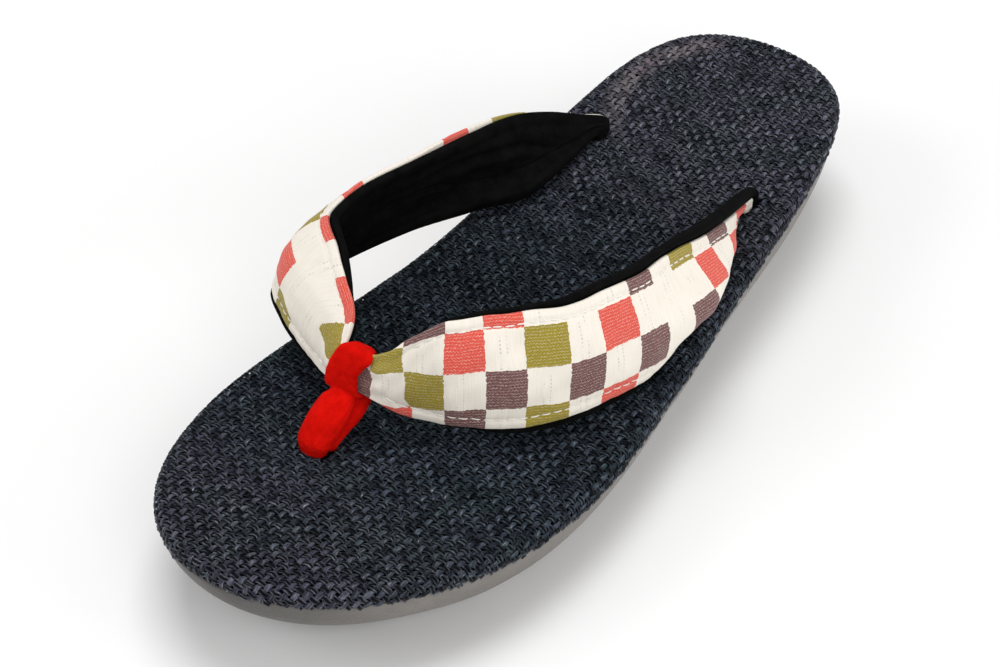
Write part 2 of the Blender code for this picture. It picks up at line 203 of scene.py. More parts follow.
# Where the layers of the strap end, in mm, from the edges of its main form: how far
# the printed cloth stands in at the upper and at the lower edge (trim, under), and how
# far the lining shows beyond the upper and the lower edge (top, low), for each arm.
EDGE_COLUMNS = ("along", "outer_trim", "outer_under", "outer_top", "outer_low",
                "inner_trim", "inner_under", "inner_top", "inner_low")
EDGES = (
    (0.0, -0.5, 0.0, 0.2, 0.5, -0.5, 0.0, 0.0, 0.5),
    (4.5, -0.6, 0.0, 0.1, 0.6, -0.6, 0.3, -0.3, 0.6),
    (7.5, -1.8, 0.0, 0.1, 0.6, -0.8, 0.5, -0.4, 0.7),
    (12.0, -0.8, 0.0, 0.1, 0.6, -0.8, 0.7, -0.4, 0.7),
    (20.0, -0.6, 0.0, 0.2, 0.7, -0.3, 0.9, 0.6, 0.9),
    (26.0, -0.6, 0.0, 1.0, 0.9, 0.0, 1.0, 1.1, 0.9),
    (34.0, -0.7, 0.0, 1.6, 1.2, 0.0, 1.1, 1.4, 0.9),
    (40.0, 0.0, 0.0, 1.2, 1.5, 0.0, 1.1, 1.6, 0.9),
    (46.0, 0.5, 0.0, 0.6, 1.7, 0.0, 1.1, 1.3, 0.9),
    (55.0, 1.3, 0.0, 0.6, 1.9, -0.1, 0.9, 0.9, 1.0),
    (60.0, 1.0, 0.0, 1.2, 1.9, -0.1, 0.6, 0.7, 1.0),
    (68.0, 0.3, 0.0, 2.0, 2.0, -0.2, 0.3, 0.4, 1.1),
    (76.0, 0.0, 0.0, 2.3, 2.0, -0.3, 0.4, 0.2, 1.2),
    (85.0, -0.2, 0.0, 2.4, 1.8, -0.4, 0.8, 0.0, 1.3),
    (92.0, -0.6, 0.0, 2.5, 1.6, -0.6, 1.1, -0.2, 1.4),
    (100.0, -0.4, 0.0, 2.5, 1.5, -0.6, 1.3, -0.3, 1.4),
    (108.0, 0.2, 0.0, 2.3, 1.3, -0.6, 1.6, -0.3, 1.3),
    (115.0, 0.7, 0.0, 2.1, 1.2, -0.6, 1.8, -0.2, 1.2),
    (125.0, 1.0, 0.1, 1.9, 1.0, -0.3, 1.9, -0.1, 1.0),
    (135.0, 1.2, 0.3, 1.5, 0.7, 0.0, 2.0, 0.0, 0.8),
    (145.0, 1.9, 0.8, 1.0, 0.4, 0.2, 1.8, -0.3, 0.5),
    (157.0, 3.0, 1.6, 0.4, 0.0, 0.5, 1.8, -1.0, 0.0),
)
# How the cloth is drawn aside near the tie, in squares: the outer arm's lower half
# away from the tie and its upper edge down, the inner arm's upper edge inwards, and
# the outer arm's whole print towards the tie.
GATHER_COLUMNS = ("along", "outer_low", "outer_top", "inner_top", "outer_on")
GATHERS = (
    (0.0, 0.24, 0.10, 0.50, 0.0),
    (6.0, 0.21, 0.22, 0.50, 0.03),
    (9.0, 0.20, 0.36, 0.50, 0.05),
    (14.0, 0.14, 0.40, 0.50, 0.08),
    (20.0, 0.03, 0.16, 0.48, 0.10),
    (25.0, 0.0, 0.03, 0.36, 0.11),
    (33.0, 0.0, 0.0, 0.14, 0.09),
    (46.0, 0.0, 0.0, 0.0, 0.05),
    (65.0, 0.0, 0.0, 0.0, 0.04),
    (90.0, 0.0, 0.0, 0.0, 0.0),
)
SQUARE = 10.15            # length of a printed square along the strap, in mm
FIRST_SQUARE = 3.7        # where square 0 begins, in mm from the tie
INNER_START = 20          # the inner arm's square 0 in the cloth's own map
PRINT_SPAN = 40           # squares that a row of the print is divided into

# The print, row by row, from square -1 on: r red, g green, b brown, . bare cloth
PRINT = (
    ("..b.r...b.g.b.r..", "..r.r.r...r.g.b.."),
    (".g.r.g.r...r.r...", ".g...g.r.b.g.r..."),
    ("b.g.b.b.b.b......", "....r.b.g.r.b...."),
    (".r.b.g.r.........", "...g...r.b......."),
)


def column(table, names, name):
    """One named column of a table."""
    return np.array([row[names.index(name)] for row in table], dtype=float)


def through(knots, values, at):
    """Smooth curve through values at knots: cubic pieces whose slopes are harmonic
    means of the slopes on both sides, so that it never swings beyond them."""
    secants = np.diff(values) / np.diff(knots)
    slopes = np.zeros(len(values))
    slopes[0], slopes[-1] = secants[0], secants[-1]
    before, after = secants[:-1], secants[1:]
    same = before * after > 0
    slopes[1:-1][same] = 2 * before[same] * after[same] / (before[same] + after[same])
    at = np.clip(np.asarray(at, dtype=float), knots[0], knots[-1])
    cell = np.clip(np.searchsorted(knots, at) - 1, 0, len(knots) - 2)
    span = knots[cell + 1] - knots[cell]
    t = (at - knots[cell]) / span
    return ((2 * t**3 - 3 * t**2 + 1) * values[cell]
            + (t**3 - 2 * t**2 + t) * span * slopes[cell]
            + (3 * t**2 - 2 * t**3) * values[cell + 1]
            + (t**3 - t**2) * span * slopes[cell + 1])


def plan(name, along):
    """A column of the plan at places along the sandal, all in metres."""
    knots = column(PLAN, PLAN_COLUMNS, "along") * MM
    return through(knots, column(PLAN, PLAN_COLUMNS, name) * MM, along)


def half_width(along):
    """Half the width of the woven top: the plan's half with elliptical ends."""
    share = np.clip(2 * np.asarray(along) / LENGTH, -1, 1)
    return plan("half", along) * np.sqrt(1 - share**2)


def bed_top(x, y):
    """Height of the woven top: the rim, and a crown that fades towards the edge."""
    across = (x - plan("centre", y)) / np.maximum(half_width(y), MM)
    return plan("rim", y) + EDGE + plan("crown", y) * (1 - np.clip(across**2, 0, 1))


def underside(x, y):
    """Height of the underside: two flats, with toe spring, arch and heel spring."""
    toe = np.clip((TOE_BREAK - y) / (TOE_BREAK + LENGTH / 2), 0, 1)
    heel = np.clip((y - HEEL_BREAK) / (LENGTH / 2 - HEEL_BREAK), 0, 1)
    arch = np.clip((y - ARCH_FROM) / (ARCH_TO - ARCH_FROM), 0, 1)
    height = TOE_SPRING * toe**2 + HEEL_SPRING * heel**2
    return height + ARCH_HEIGHT * np.sin(math.pi * arch)**2 + 0 * x


def outline(count):
    """Plan outline of the woven top, from the toe along the outer side and back."""
    angle = np.linspace(0, 2 * math.pi, count, endpoint=False)
    y = -LENGTH / 2 * np.cos(angle)
    return plan("centre", y) + plan("half", y) * np.sin(angle), y


def moved(a, b, distance):
    """A closed counter-clockwise loop moved outwards by a distance at each point."""
    run_a, run_b = np.roll(a, -1) - np.roll(a, 1), np.roll(b, -1) - np.roll(b, 1)
    length = np.hypot(run_a, run_b)
    return a + run_b / length * distance, b - run_a / length * distance


def grown(a, b, distance):
    """A closed loop moved outwards, whichever way round it runs."""
    area = np.sum(a * np.roll(b, -1) - b * np.roll(a, -1))
    return moved(a, b, distance if area > 0 else -distance)


def unit(vectors):
    """Vectors of length one, along the last axis."""
    return vectors / np.linalg.norm(vectors, axis=-1, keepdims=True)


def waves(at, count, longest, seed):
    """A wandering line between about -1 and 1: a sum of sine waves from longest down,
    each shorter and lower than the one before, with seeded phases."""
    rng = np.random.default_rng(seed)
    total = np.zeros_like(at, dtype=float)
    for order in range(count):
        phase = rng.uniform(0, 2 * math.pi)
        total += np.sin(2 * math.pi * at * 1.7**order / longest + phase) / 1.5**order
    return total / 1.7


# ---------------------------------------------------------------- meshes
def strips(rows, columns, closed=True):
    """Quads of a grid of points that lie row after row; closed joins its last column
    to its first."""
    across = columns if closed else columns - 1
    low = (np.arange(rows - 1)[:, None] * columns + np.arange(across)).ravel()
    follow = (np.arange(rows - 1)[:, None] * columns
              + (np.arange(across) + 1) % columns).ravel()
    return np.stack([low, follow, follow + columns, low + columns], axis=1)


def add_mesh(name, points, groups, maps=None, smooth=True):
    """An object from points in metres and groups of faces with equally many corners.

    maps holds, for each UV map, one pair per point or one per corner. The faces are
    turned to point outwards: the signed volume over the origin has to be positive."""
    points = np.asarray(points, dtype=float) - (MIDDLE_X, 0, 0)
    groups = [np.asarray(group) for group in groups if len(group)]
    volume = sum(np.einsum("ij,ij->", points[group[:, 0]],
                           np.cross(points[group[:, k]], points[group[:, k + 1]]))
                 for group in groups for k in range(1, group.shape[1] - 1))
    if volume < 0:
        groups = [group[:, ::-1] for group in groups]
    corners = np.concatenate([group.ravel() for group in groups])
    sizes = np.concatenate([np.full(len(group), group.shape[1]) for group in groups])
    starts = np.concatenate([[0], np.cumsum(sizes)[:-1]])
    mesh = bpy.data.meshes.new(name)
    mesh.vertices.add(len(points))
    mesh.vertices.foreach_set("co", points.astype(np.float32).ravel())
    mesh.loops.add(len(corners))
    mesh.loops.foreach_set("vertex_index", corners.astype(np.int32))
    mesh.polygons.add(len(sizes))
    mesh.polygons.foreach_set("loop_start", starts.astype(np.int32))
    mesh.polygons.foreach_set("use_smooth", np.full(len(sizes), smooth))
    for map_name, values in (maps or {}).items():
        layer = mesh.uv_layers.new(name=map_name)
        layer.uv.foreach_set("vector", values[corners].astype(np.float32).ravel())
    mesh.update(calc_edges=True)
    mesh.validate()
    made = bpy.data.objects.new(name, mesh)
    bpy.context.scene.collection.objects.link(made)
    return made


def tube(name, sections, maps=None):
    """A closed solid through closed sections with equally many points, with its two
    ends closed by fans round their middles."""
    rows, columns = sections.shape[:2]
    middles = np.stack([sections[0].mean(axis=0), sections[-1].mean(axis=0)])
    points = np.concatenate([sections.reshape(-1, 3), middles])
    index = np.arange(columns)
    last = (rows - 1) * columns
    first_fan = np.stack([index, np.roll(index, 1), 0 * index + rows * columns], axis=1)
    last_fan = np.stack([last + np.roll(index, 1), last + index,
                         0 * index + rows * columns + 1], axis=1)
    if maps:
        maps = {key: np.concatenate([value.reshape(-1, 2),
                                     value[0].mean(axis=0)[None],
                                     value[-1].mean(axis=0)[None]])
                for key, value in maps.items()}
    return add_mesh(name, points, [strips(rows, columns), first_fan, last_fan], maps)


def settle(piece, slot_name, *nodes):
    """Let a piece ride on the sandal and stand for its nodes, which are hidden. slot_name is not used."""
    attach(piece, BODY)
    if nodes:
        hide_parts(*nodes)
    return piece


# ---------------------------------------------------------------- the strap's surface
ARM_STEPS = 300           # stations along each arm
FACE_STEPS = 58           # across the printed face
TIP_STEPS = 5             # round each folded edge
STITCH_FROM_EDGE = 2.3    # mm
STITCH_PITCH = 2.9        # mm from one stitch to the next
STITCH_LENGTH = 2.6       # mm


def arm_knots(table):
    """How far along an arm each of its rows lies, as a share of its length."""
    values = {name: column(table, ARM_COLUMNS, name) for name in ARM_COLUMNS}
    middle = np.stack([values["top_" + axis] + values["low_" + axis]
                       for axis in ("x", "y", "up")], axis=1) / 2
    run = np.concatenate([[0], np.cumsum(np.linalg.norm(np.diff(middle, axis=0), axis=1))])
    return run / run[-1]


def arm_rows(table, at):
    """An arm's upper and lower edges and its other columns at shares of its length."""
    knots = arm_knots(table)
    found = {name: through(knots, column(table, ARM_COLUMNS, name), at)
             for name in ARM_COLUMNS}
    ends = []
    for edge in ("top", "low"):
        x, y = found[edge + "_x"] * MM, found[edge + "_y"] * MM
        ends.append(np.stack([x, y, bed_top(x, y) + found[edge + "_up"] * MM], axis=1))
    return ends[0], ends[1], found["bulge"] * MM, found["belly"], found["pad"]


class StrapRun:
    """The printed face of the strap as a grid, from the outer end through the tie.

    At each station the face runs from its upper edge to its lower edge and swells
    outwards by bulge * sin(pi * share ** k), with k set so that it peaks at the belly.
    """

    def __init__(self):
        arms = []
        for table, sign in ((OUTER_ARM, -1), (INNER_ARM, 1)):
            at = np.linspace(0, 1, ARM_STEPS + 1)
            before, after = arm_rows(table, at - 0.001), arm_rows(table, at + 0.001)
            run = unit(after[0] + after[1] - before[0] - before[1]) * sign
            arms.append([*arm_rows(table, at), run])
        outer, inner = arms
        joined = [np.concatenate([far[::-1], near[1:]]) for far, near in zip(outer, inner)]
        self.top, low, self.bulge, self.belly, self.pad, run = joined
        self.down = unit(low - self.top)
        self.out = unit(np.cross(run, self.down))
        self.length = np.linalg.norm(low - self.top, axis=1)
        self.is_outer = np.arange(2 * ARM_STEPS + 1) < ARM_STEPS
        self.share = np.linspace(0, 1, FACE_STEPS + 1)
        face = self.flat_face(self.share[None] + 0 * self.length[:, None])
        middle = self.placed(face)[:, FACE_STEPS // 2]
        run_length = np.concatenate([[0], np.cumsum(np.linalg.norm(
            np.diff(middle, axis=0), axis=1))]) / MM
        self.signed = run_length - run_length[ARM_STEPS]
        self.along = np.abs(self.signed)

    def flat_face(self, share):
        """The face's profile drawn flat at each station: down it, and out from it."""
        power = math.log(0.5) / np.log(self.belly)
        swell = np.sin(math.pi * share ** power[:, None])
        return np.stack([share * self.length[:, None], swell * self.bulge[:, None]],
                        axis=-1)

    def placed(self, flat):
        """Flat points at each station carried into the sandal's space."""
        return (self.top[:, None] + flat[..., :1] * self.down[:, None]
                + flat[..., 1:] * self.out[:, None])

    def edges(self, name):
        """A column of EDGES at the stations of both arms, in mm."""
        knots = column(EDGES, EDGE_COLUMNS, "along")
        arms = [through(knots, column(EDGES, EDGE_COLUMNS, arm + name), self.along)
                for arm in ("outer_", "inner_")]
        return np.where(self.is_outer, *arms)


class Sheet:
    """The face of the strap between its own two edges, which lie beyond the main
    form's upper and lower edge by above and below, in mm. Past those edges it goes
    straight on. arc is the distance down from the main form's upper edge, in mm."""

    def __init__(self, strap, above, below):
        self.strap = strap
        span = strap.length[:, None] / MM
        share = (-above[:, None] + (span + above[:, None] + below[:, None])
                 * strap.share[None]) / span
        inside = np.clip(share, 0, 1)
        ends = strap.flat_face(np.stack([0 * strap.length, 0 * strap.length + 0.01,
                                         0 * strap.length + 0.99, 0 * strap.length + 1],
                                        axis=1))
        before, after = unit(ends[:, 1] - ends[:, 0]), unit(ends[:, 3] - ends[:, 2])
        past = (share - inside)[..., None] * strap.length[:, None, None]
        self.face = strap.flat_face(inside) + past * np.where(
            share[..., None] < 0.5, before[:, None], after[:, None])
        steps = np.linalg.norm(np.diff(self.face, axis=1), axis=2) / MM
        run = np.concatenate([np.zeros((len(steps), 1)), np.cumsum(steps, axis=1)], axis=1)
        self.arc = run - above[:, None]
        self.from_top = run
        self.from_low = run[:, -1:] - run
        self.from_edge = np.minimum(self.from_top, self.from_low)
        self.way = unit(np.gradient(self.face, axis=1))
        self.side = np.stack([-self.way[..., 1], self.way[..., 0]], axis=-1)

    def spatial(self, flat):
        """Flat directions at each point carried into the sandal's space."""
        return unit(flat[..., :1] * self.strap.down[:, None]
                    + flat[..., 1:] * self.strap.out[:, None])


def edge_fold(corner, way, side, near, far):
    """A half-round fold beyond an edge of a sheet, from its front round to its back:
    an ellipse about the middle of the layer, half its thickness by EDGE_ROLL."""
    angle = np.linspace(0, math.pi, TIP_STEPS + 2)[1:-1]
    middle, half = (near + far) / 2, (far - near) / 2
    return (corner[:, None] + way[:, None] * (EDGE_ROLL * np.sin(angle))[None, :, None]
            - side[:, None] * (middle[:, None] - half[:, None]
                               * np.cos(angle)[None])[..., None])


def layer(sheet, near, far, front_lift, back_lift):
    """Closed sections of one layer of the strap and the arc of each point in mm.

    Its front and its back are the sheet moved in by near and by far along its own
    normals, then out and in by the lifts; its edges are half-round folds."""
    depth_front = near - front_lift
    depth_back = far + back_lift
    front = sheet.face - sheet.side * depth_front[..., None]
    back = sheet.face - sheet.side * depth_back[..., None]
    low = edge_fold(sheet.face[:, -1], sheet.way[:, -1], sheet.side[:, -1],
                    depth_front[:, -1], depth_back[:, -1])
    top = edge_fold(sheet.face[:, 0], -sheet.way[:, 0], sheet.side[:, 0],
                    depth_front[:, 0], depth_back[:, 0])
    flat = np.concatenate([front, low, back[:, ::-1], top[:, ::-1]], axis=1)
    past = 1.9 * np.linspace(0, 1, TIP_STEPS + 2)[1:-1][None]
    arc = np.concatenate([sheet.arc, sheet.arc[:, -1:] + past, sheet.arc[:, ::-1],
                          sheet.arc[:, :1] - past[:, ::-1]], axis=1)
    return sheet.strap.placed(flat), arc


def cloth_map(strap, arc):
    """The printed cloth's own map, in squares: along the strap from the tie, and down
    it from the first row's lower edge. The inner arm lies INNER_START further on."""
    knots = column(PRINT_ROWS, PRINT_COLUMNS, "along")
    arms = {}
    for arm in ("outer", "inner"):
        first = through(knots, column(PRINT_ROWS, PRINT_COLUMNS, arm + "_first"),
                        strap.along)
        pitch = through(knots, column(PRINT_ROWS, PRINT_COLUMNS, arm + "_pitch"),
                        strap.along)
        arms[arm] = (arc - first[:, None]) / pitch[:, None]
    down = np.where(strap.is_outer[:, None], arms["outer"], arms["inner"])
    knots = column(GATHERS, GATHER_COLUMNS, "along")
    outer_low, outer_top, inner_top, outer_on = (
        through(knots, column(GATHERS, GATHER_COLUMNS, name), strap.along)[:, None]
        for name in GATHER_COLUMNS[1:])
    outer = strap.is_outer[:, None]
    hem = 2.6 * (np.clip((down - 1.75) / 0.35, 0, 1)
                 * np.clip((strap.along[:, None] - 8) / 5, 0, 1))
    gathered = np.where(outer,
                        outer_on - outer_low * (np.clip((down - 0.7) / 0.6, 0, 1) + hem),
                        inner_top * np.clip(1 - arc / 9, 0, 1))
    down = down - np.where(outer, outer_top * np.clip(1 - arc / 4, 0, 1), 0)
    along = ((strap.along - FIRST_SQUARE) / SQUARE
             + np.where(strap.is_outer, 0, INNER_START))
    return np.stack([along[:, None] + gathered, down], axis=-1)


def near_tie(strap, reach):
    """1 at the tie, fading to nothing over reach in mm."""
    return np.exp(-(np.maximum(strap.along - 4, 0) / reach) ** 2)


def print_relief(sheet):
    """Height in metres of the printed cloth over its plain face: a furrow along each
    line of stitches with a puffed edge beyond it, a pucker at every stitch, pleats
    that run out from the tie, and slow waves of the padding."""
    strap = sheet.strap
    line = sheet.from_edge - STITCH_FROM_EDGE
    arc, share = sheet.arc, strap.share[None, :]
    along = strap.signed[:, None]
    sewn = np.clip((strap.along[:, None] - 8) / 8, 0, 1)
    furrow = -0.26 * np.exp(-(line / 0.5) ** 2) * sewn
    puffed = 0.12 * np.exp(-((line + 1.2) / 0.8) ** 2) * sewn
    pucker = (0.05 * np.cos(2 * math.pi * along / STITCH_PITCH)
              * np.exp(-(line / 1.4) ** 2))
    drawn = (0.10 * waves(along + 0 * arc, 3, 9.0, 11)
             * np.exp(-(np.maximum(line, 0) / 4.5) ** 2))
    wander = 0.05 * waves(along, 2, 30.0, 5)
    pleats = (0.18 * near_tie(strap, 8)[:, None]
              * np.cos(2 * math.pi * (2.6 * (share + wander) + 0.1)))
    slow = (0.24 * waves(along + 0.9 * arc, 3, 34.0, 21)
            + 0.18 * waves(along * 0.5 - 1.3 * arc, 3, 21.0, 22))
    cross_folds = 0.16 * waves(along + 0.25 * arc, 2, 13.0, 31) * np.sin(math.pi * share)
    inside = np.clip(sheet.from_edge / 3.0, 0, 1)
    total = furrow + puffed + pucker + drawn + pleats + (slow + cross_folds) * inside
    return total * MM * np.clip((strap.along[:, None] - 2) / 3, 0, 1)


# Creases of the lining, in mm: the middle of each crease along the arm (the inner
# arm's are positive) and down it, its half length and half width, its slant, how far
# its ends bow down, and its depth.
CREASE_COLUMNS = ("along", "down", "half_long", "half_wide", "slant", "bow", "depth")
CREASES = (
    (104.0, 5.0, 26.0, 1.0, 0.02, 2.0, 1.0),
    (84.0, 10.0, 16.0, 1.4, -0.10, 4.0, 0.9),
    (66.0, 16.0, 8.0, 1.6, -0.80, 0.0, 0.8),
    (88.0, 18.5, 10.0, 1.2, 0.04, 1.0, 0.7),
    (44.0, 9.0, 5.0, 1.5, 1.6, 0.0, 0.8),
    (-60.0, 10.0, 16.0, 1.4, 0.10, 1.5, 0.8),
    (-92.0, 12.0, 15.0, 1.4, -0.16, 2.0, 0.8),
    (-30.0, 12.0, 9.0, 1.4, 0.30, 0.0, 0.8),
)


def lining_relief(sheet):
    """Height in metres of the padded lining: a sewn furrow near each edge, soft folds
    along CREASES, each a dent with a fuller shoulder beside it, and slow swellings."""
    strap = sheet.strap
    along, arc = strap.signed[:, None], sheet.arc
    total = -0.55 * np.exp(-((sheet.from_edge - STITCH_FROM_EDGE) / 0.8) ** 2)
    for middle, down, half_long, half_wide, slant, bow, depth in CREASES:
        far = (along - middle) / half_long
        across = arc - down - slant * (along - middle) - bow * far**2
        total = total + depth * np.exp(-far**4) * (
            0.45 * np.exp(-((across - 2.2 * half_wide) / (1.5 * half_wide)) ** 2)
            - np.exp(-(across / half_wide) ** 2))
    slow = (0.25 * waves(along + 0.5 * arc, 3, 27.0, 41)
            + 0.20 * waves(along * 0.6 - 1.1 * arc, 3, 18.0, 42))
    inside = np.clip(sheet.from_edge / 4.0, 0, 1)
    return (total + slow * inside) * strap.pad[:, None] * MM


def cover_sheet():
    """The printed cloth's sheet, which ends at the trimmed upper edge."""
    strap = StrapRun()
    return Sheet(strap, -strap.edges("trim"), -strap.edges("under"))


def build_strap_cover():
    """The printed cotton face of the strap with its folded edges."""
    sheet = cover_sheet()
    near = np.zeros_like(sheet.arc)
    sections, arc = layer(sheet, near, near + COVER_WALL, print_relief(sheet), near)
    return tube("strap_print", sections, {"cloth": cloth_map(sheet.strap, arc)})


def build_strap_lining():
    """The padded velvet that backs the strap and shows along its edges."""
    strap = StrapRun()
    sheet = Sheet(strap, strap.edges("top"), strap.edges("low"))
    share = strap.share[None, :]
    # past the edges of the cloth it comes forward, level with the printed face
    width = sheet.arc[:, -1:] - strap.edges("low")[:, None]
    bare_top = -sheet.arc + strap.edges("trim")[:, None] - 0.75
    bare_low = sheet.arc - width + strap.edges("under")[:, None] - 0.75
    forward = np.clip(np.maximum(bare_top * 1.3, bare_low * 1.6), 0, 1)
    near = (COVER_WALL + 0.1 * MM) * (1 - forward)
    puff = (LINING_EDGE + LINING_PUFF * (1 - np.abs(2 * share - 1) ** 2.2))
    far = COVER_WALL + GAP + puff * strap.pad[:, None]
    sections, arc = layer(sheet, near, far, 0 * near, lining_relief(sheet))
    flat = np.stack([strap.signed[:, None] + 0 * arc, arc], axis=-1)
    return tube("strap_velvet", sections, {"cloth": flat})


def build_stitches():
    """Short thread loops along both edges of the printed face: a tube of six sides
    whose middle rises as sin(pi t) from one needle hole to the next."""
    sheet = cover_sheet()
    strap = sheet.strap
    lift = print_relief(sheet)
    front = strap.placed(sheet.face + sheet.side * lift[..., None])
    normals, ways = sheet.spatial(sheet.side), sheet.spatial(sheet.way)
    rng = np.random.default_rng(7)
    ring = np.linspace(0, 2 * math.pi, 6, endpoint=False)
    steps = np.linspace(0, 1, 6)
    points, quads, fans, start = [], [], [], 0
    for edge in ("top", "low"):
        starts = np.arange(-149.0, 149.0, STITCH_PITCH)
        clear = 14.5 if edge == "top" else 8.5
        starts = starts[np.abs(starts + STITCH_LENGTH / 2) > clear]
        starts = starts + rng.uniform(-0.12, 0.12, len(starts))
        at = starts[:, None] + STITCH_LENGTH * steps[None]
        from_edge = STITCH_FROM_EDGE + rng.uniform(-0.10, 0.10, (len(starts), 1)) \
            + 0.12 * (steps[None] - 0.5) * rng.uniform(-1, 1, (len(starts), 1))
        station = np.clip(np.interp(at, strap.signed, np.arange(len(strap.signed))),
                          0, len(strap.signed) - 1.001)
        width = np.interp(at, strap.signed, sheet.from_top[:, -1])
        wanted = from_edge if edge == "top" else width - from_edge
        row = station.astype(int)
        arcs = sheet.from_top[row] + (sheet.from_top[row + 1] - sheet.from_top[row]) \
            * (station - row)[..., None]
        cell = np.clip((arcs < wanted[..., None]).sum(axis=-1) - 1, 0, FACE_STEPS - 1)
        low_arc = np.take_along_axis(arcs, cell[..., None], -1)[..., 0]
        high_arc = np.take_along_axis(arcs, cell[..., None] + 1, -1)[..., 0]
        part = (wanted - low_arc) / (high_arc - low_arc)
        u, v = (station - row)[..., None], part[..., None]

        def on_face(grid):
            """A grid of the strap read between its four nearest points."""
            return ((grid[row, cell] * (1 - v) + grid[row, cell + 1] * v) * (1 - u)
                    + (grid[row + 1, cell] * (1 - v) + grid[row + 1, cell + 1] * v) * u)

        normal, way = unit(on_face(normals)), unit(on_face(ways))
        rise = (-0.16 + 0.23 * np.sin(math.pi * steps) ** 0.7) * MM
        middle = on_face(front) + normal * rise[None, :, None]
        thick = (0.10 + 0.06 * np.sin(math.pi * steps) ** 0.5) * MM
        circle = (middle[:, :, None] + (way[:, :, None] * np.cos(ring)[:, None] * 1.25
                                        + normal[:, :, None] * np.sin(ring)[:, None])
                  * thick[None, :, None, None])
        count, rows, sides = circle.shape[:3]
        offsets = start + np.arange(count)[:, None, None] * rows * sides
        points.append(circle.reshape(-1, 3))
        quads.append((offsets + strips(rows, sides)[None]).reshape(-1, 4))
        end = np.arange(sides)
        fans += [(offsets[:, 0] + end[::-1]).reshape(-1, sides),
                 (offsets[:, 0] + (rows - 1) * sides + end).reshape(-1, sides)]
        start += count * rows * sides
    return add_mesh("edge_stitches", np.concatenate(points),
                    [np.concatenate(quads), np.concatenate(fans)])


# ---------------------------------------------------------------- the woven top
EDGE_POINTS = 2880        # points of the outline that the distance is measured to
EDGE_BAND = 12 * MM       # nearer the outline than this, the distance is measured
RIBBON_POINTS = 5
WEAVE_HANG = 2.3 * MM     # how far the strands go down below the rounded edge
TOE_LIFT = 0.6 * MM       # how much less far they go down at the toe
EDGE_CALM = 0.4           # share of their rise and fall that they lose over the edge


def to_edge(x, y):
    """Distance in from the outline, and the nearest point on it with its outward
    normal. The nearest of EDGE_POINTS gives a tangent line, and the distance is
    measured square to it. Deep inside, the distance is only known to be large."""
    ring_x, ring_y = outline(EDGE_POINTS)
    run_x = np.roll(ring_x, -1) - np.roll(ring_x, 1)
    run_y = np.roll(ring_y, -1) - np.roll(ring_y, 1)
    length = np.hypot(run_x, run_y)
    tangent = np.stack([run_x, run_y], axis=1) / length[:, None]
    normal = np.stack([tangent[:, 1], -tangent[:, 0]], axis=1)
    distance = np.full(x.shape, 1.0)
    near_x, near_y = x.copy(), y.copy()
    out_x, out_y = np.zeros_like(x), np.zeros_like(x)
    inside = (np.abs(x - plan("centre", y)) < half_width(y) - EDGE_BAND) & (
        np.abs(y) < LENGTH / 2 - EDGE_BAND)
    todo = np.flatnonzero(~inside.ravel())
    for chunk in np.array_split(todo, max(1, len(todo) // 4000)):
        px, py = x.ravel()[chunk], y.ravel()[chunk]
        gap = (px[:, None] - ring_x[None]) ** 2 + (py[:, None] - ring_y[None]) ** 2
        nearest = gap.argmin(axis=1)
        dx, dy = px - ring_x[nearest], py - ring_y[nearest]
        slide = dx * tangent[nearest, 0] + dy * tangent[nearest, 1]
        distance.ravel()[chunk] = -(dx * normal[nearest, 0] + dy * normal[nearest, 1])
        near_x.ravel()[chunk] = ring_x[nearest] + slide * tangent[nearest, 0]
        near_y.ravel()[chunk] = ring_y[nearest] + slide * tangent[nearest, 1]
        out_x.ravel()[chunk], out_y.ravel()[chunk] = normal[nearest, 0], normal[nearest, 1]
    return distance, near_x, near_y, out_x, out_y


def draped(x, y, lift):
    """Where a sheet laid on the board carries a plan point, and how far over the edge.

    Inside it lies on the woven top. Past the start of the rounded edge the extra
    distance goes round a quarter circle and then straight down the wall. lift is a
    height above the sheet, along its own normal."""
    distance, near_x, near_y, out_x, out_y = to_edge(x, y)
    over = np.maximum(EDGE_ROUND - distance, 0)
    lift = lift * (1 - EDGE_CALM * np.clip(over / EDGE_ROUND, 0, 1))
    angle = np.minimum(over / EDGE_ROUND, math.pi / 2)
    wall = np.maximum(over - EDGE_ROUND * math.pi / 2, 0)
    bent = over > 0
    base_x = np.where(bent, near_x - out_x * EDGE_ROUND, x)
    base_y = np.where(bent, near_y - out_y * EDGE_ROUND, y)
    reach = (EDGE_ROUND + lift) * np.sin(angle)
    height = (bed_top(base_x, base_y) - EDGE_ROUND
              + (EDGE_ROUND + lift) * np.cos(angle) - wall)
    return np.stack([base_x + out_x * reach, base_y + out_y * reach, height], axis=-1), over


def inside_fittings(x, y):
    """True under the post of the tie and under the strap's ends."""
    leg = FRONT_LEG[-2]
    post = (((x - (leg[0] + 1.0) * MM) / (4.2 * MM)) ** 2
            + ((y - (leg[1] + 0.4) * MM) / (3.2 * MM)) ** 2) < 1
    found = post
    for table in (OUTER_ARM, INNER_ARM):
        top_x, top_y, low_x, low_y = (table[-1][i] * MM for i in (0, 1, 3, 4))
        run = np.array([low_x - top_x, low_y - top_y])
        share = np.clip(((x - top_x) * run[0] + (y - top_y) * run[1]) / (run @ run), 0, 1)
        away = np.hypot(x - top_x - share * run[0], y - top_y - share * run[1])
        found = found | (away < 0.9 * MM)
    return found


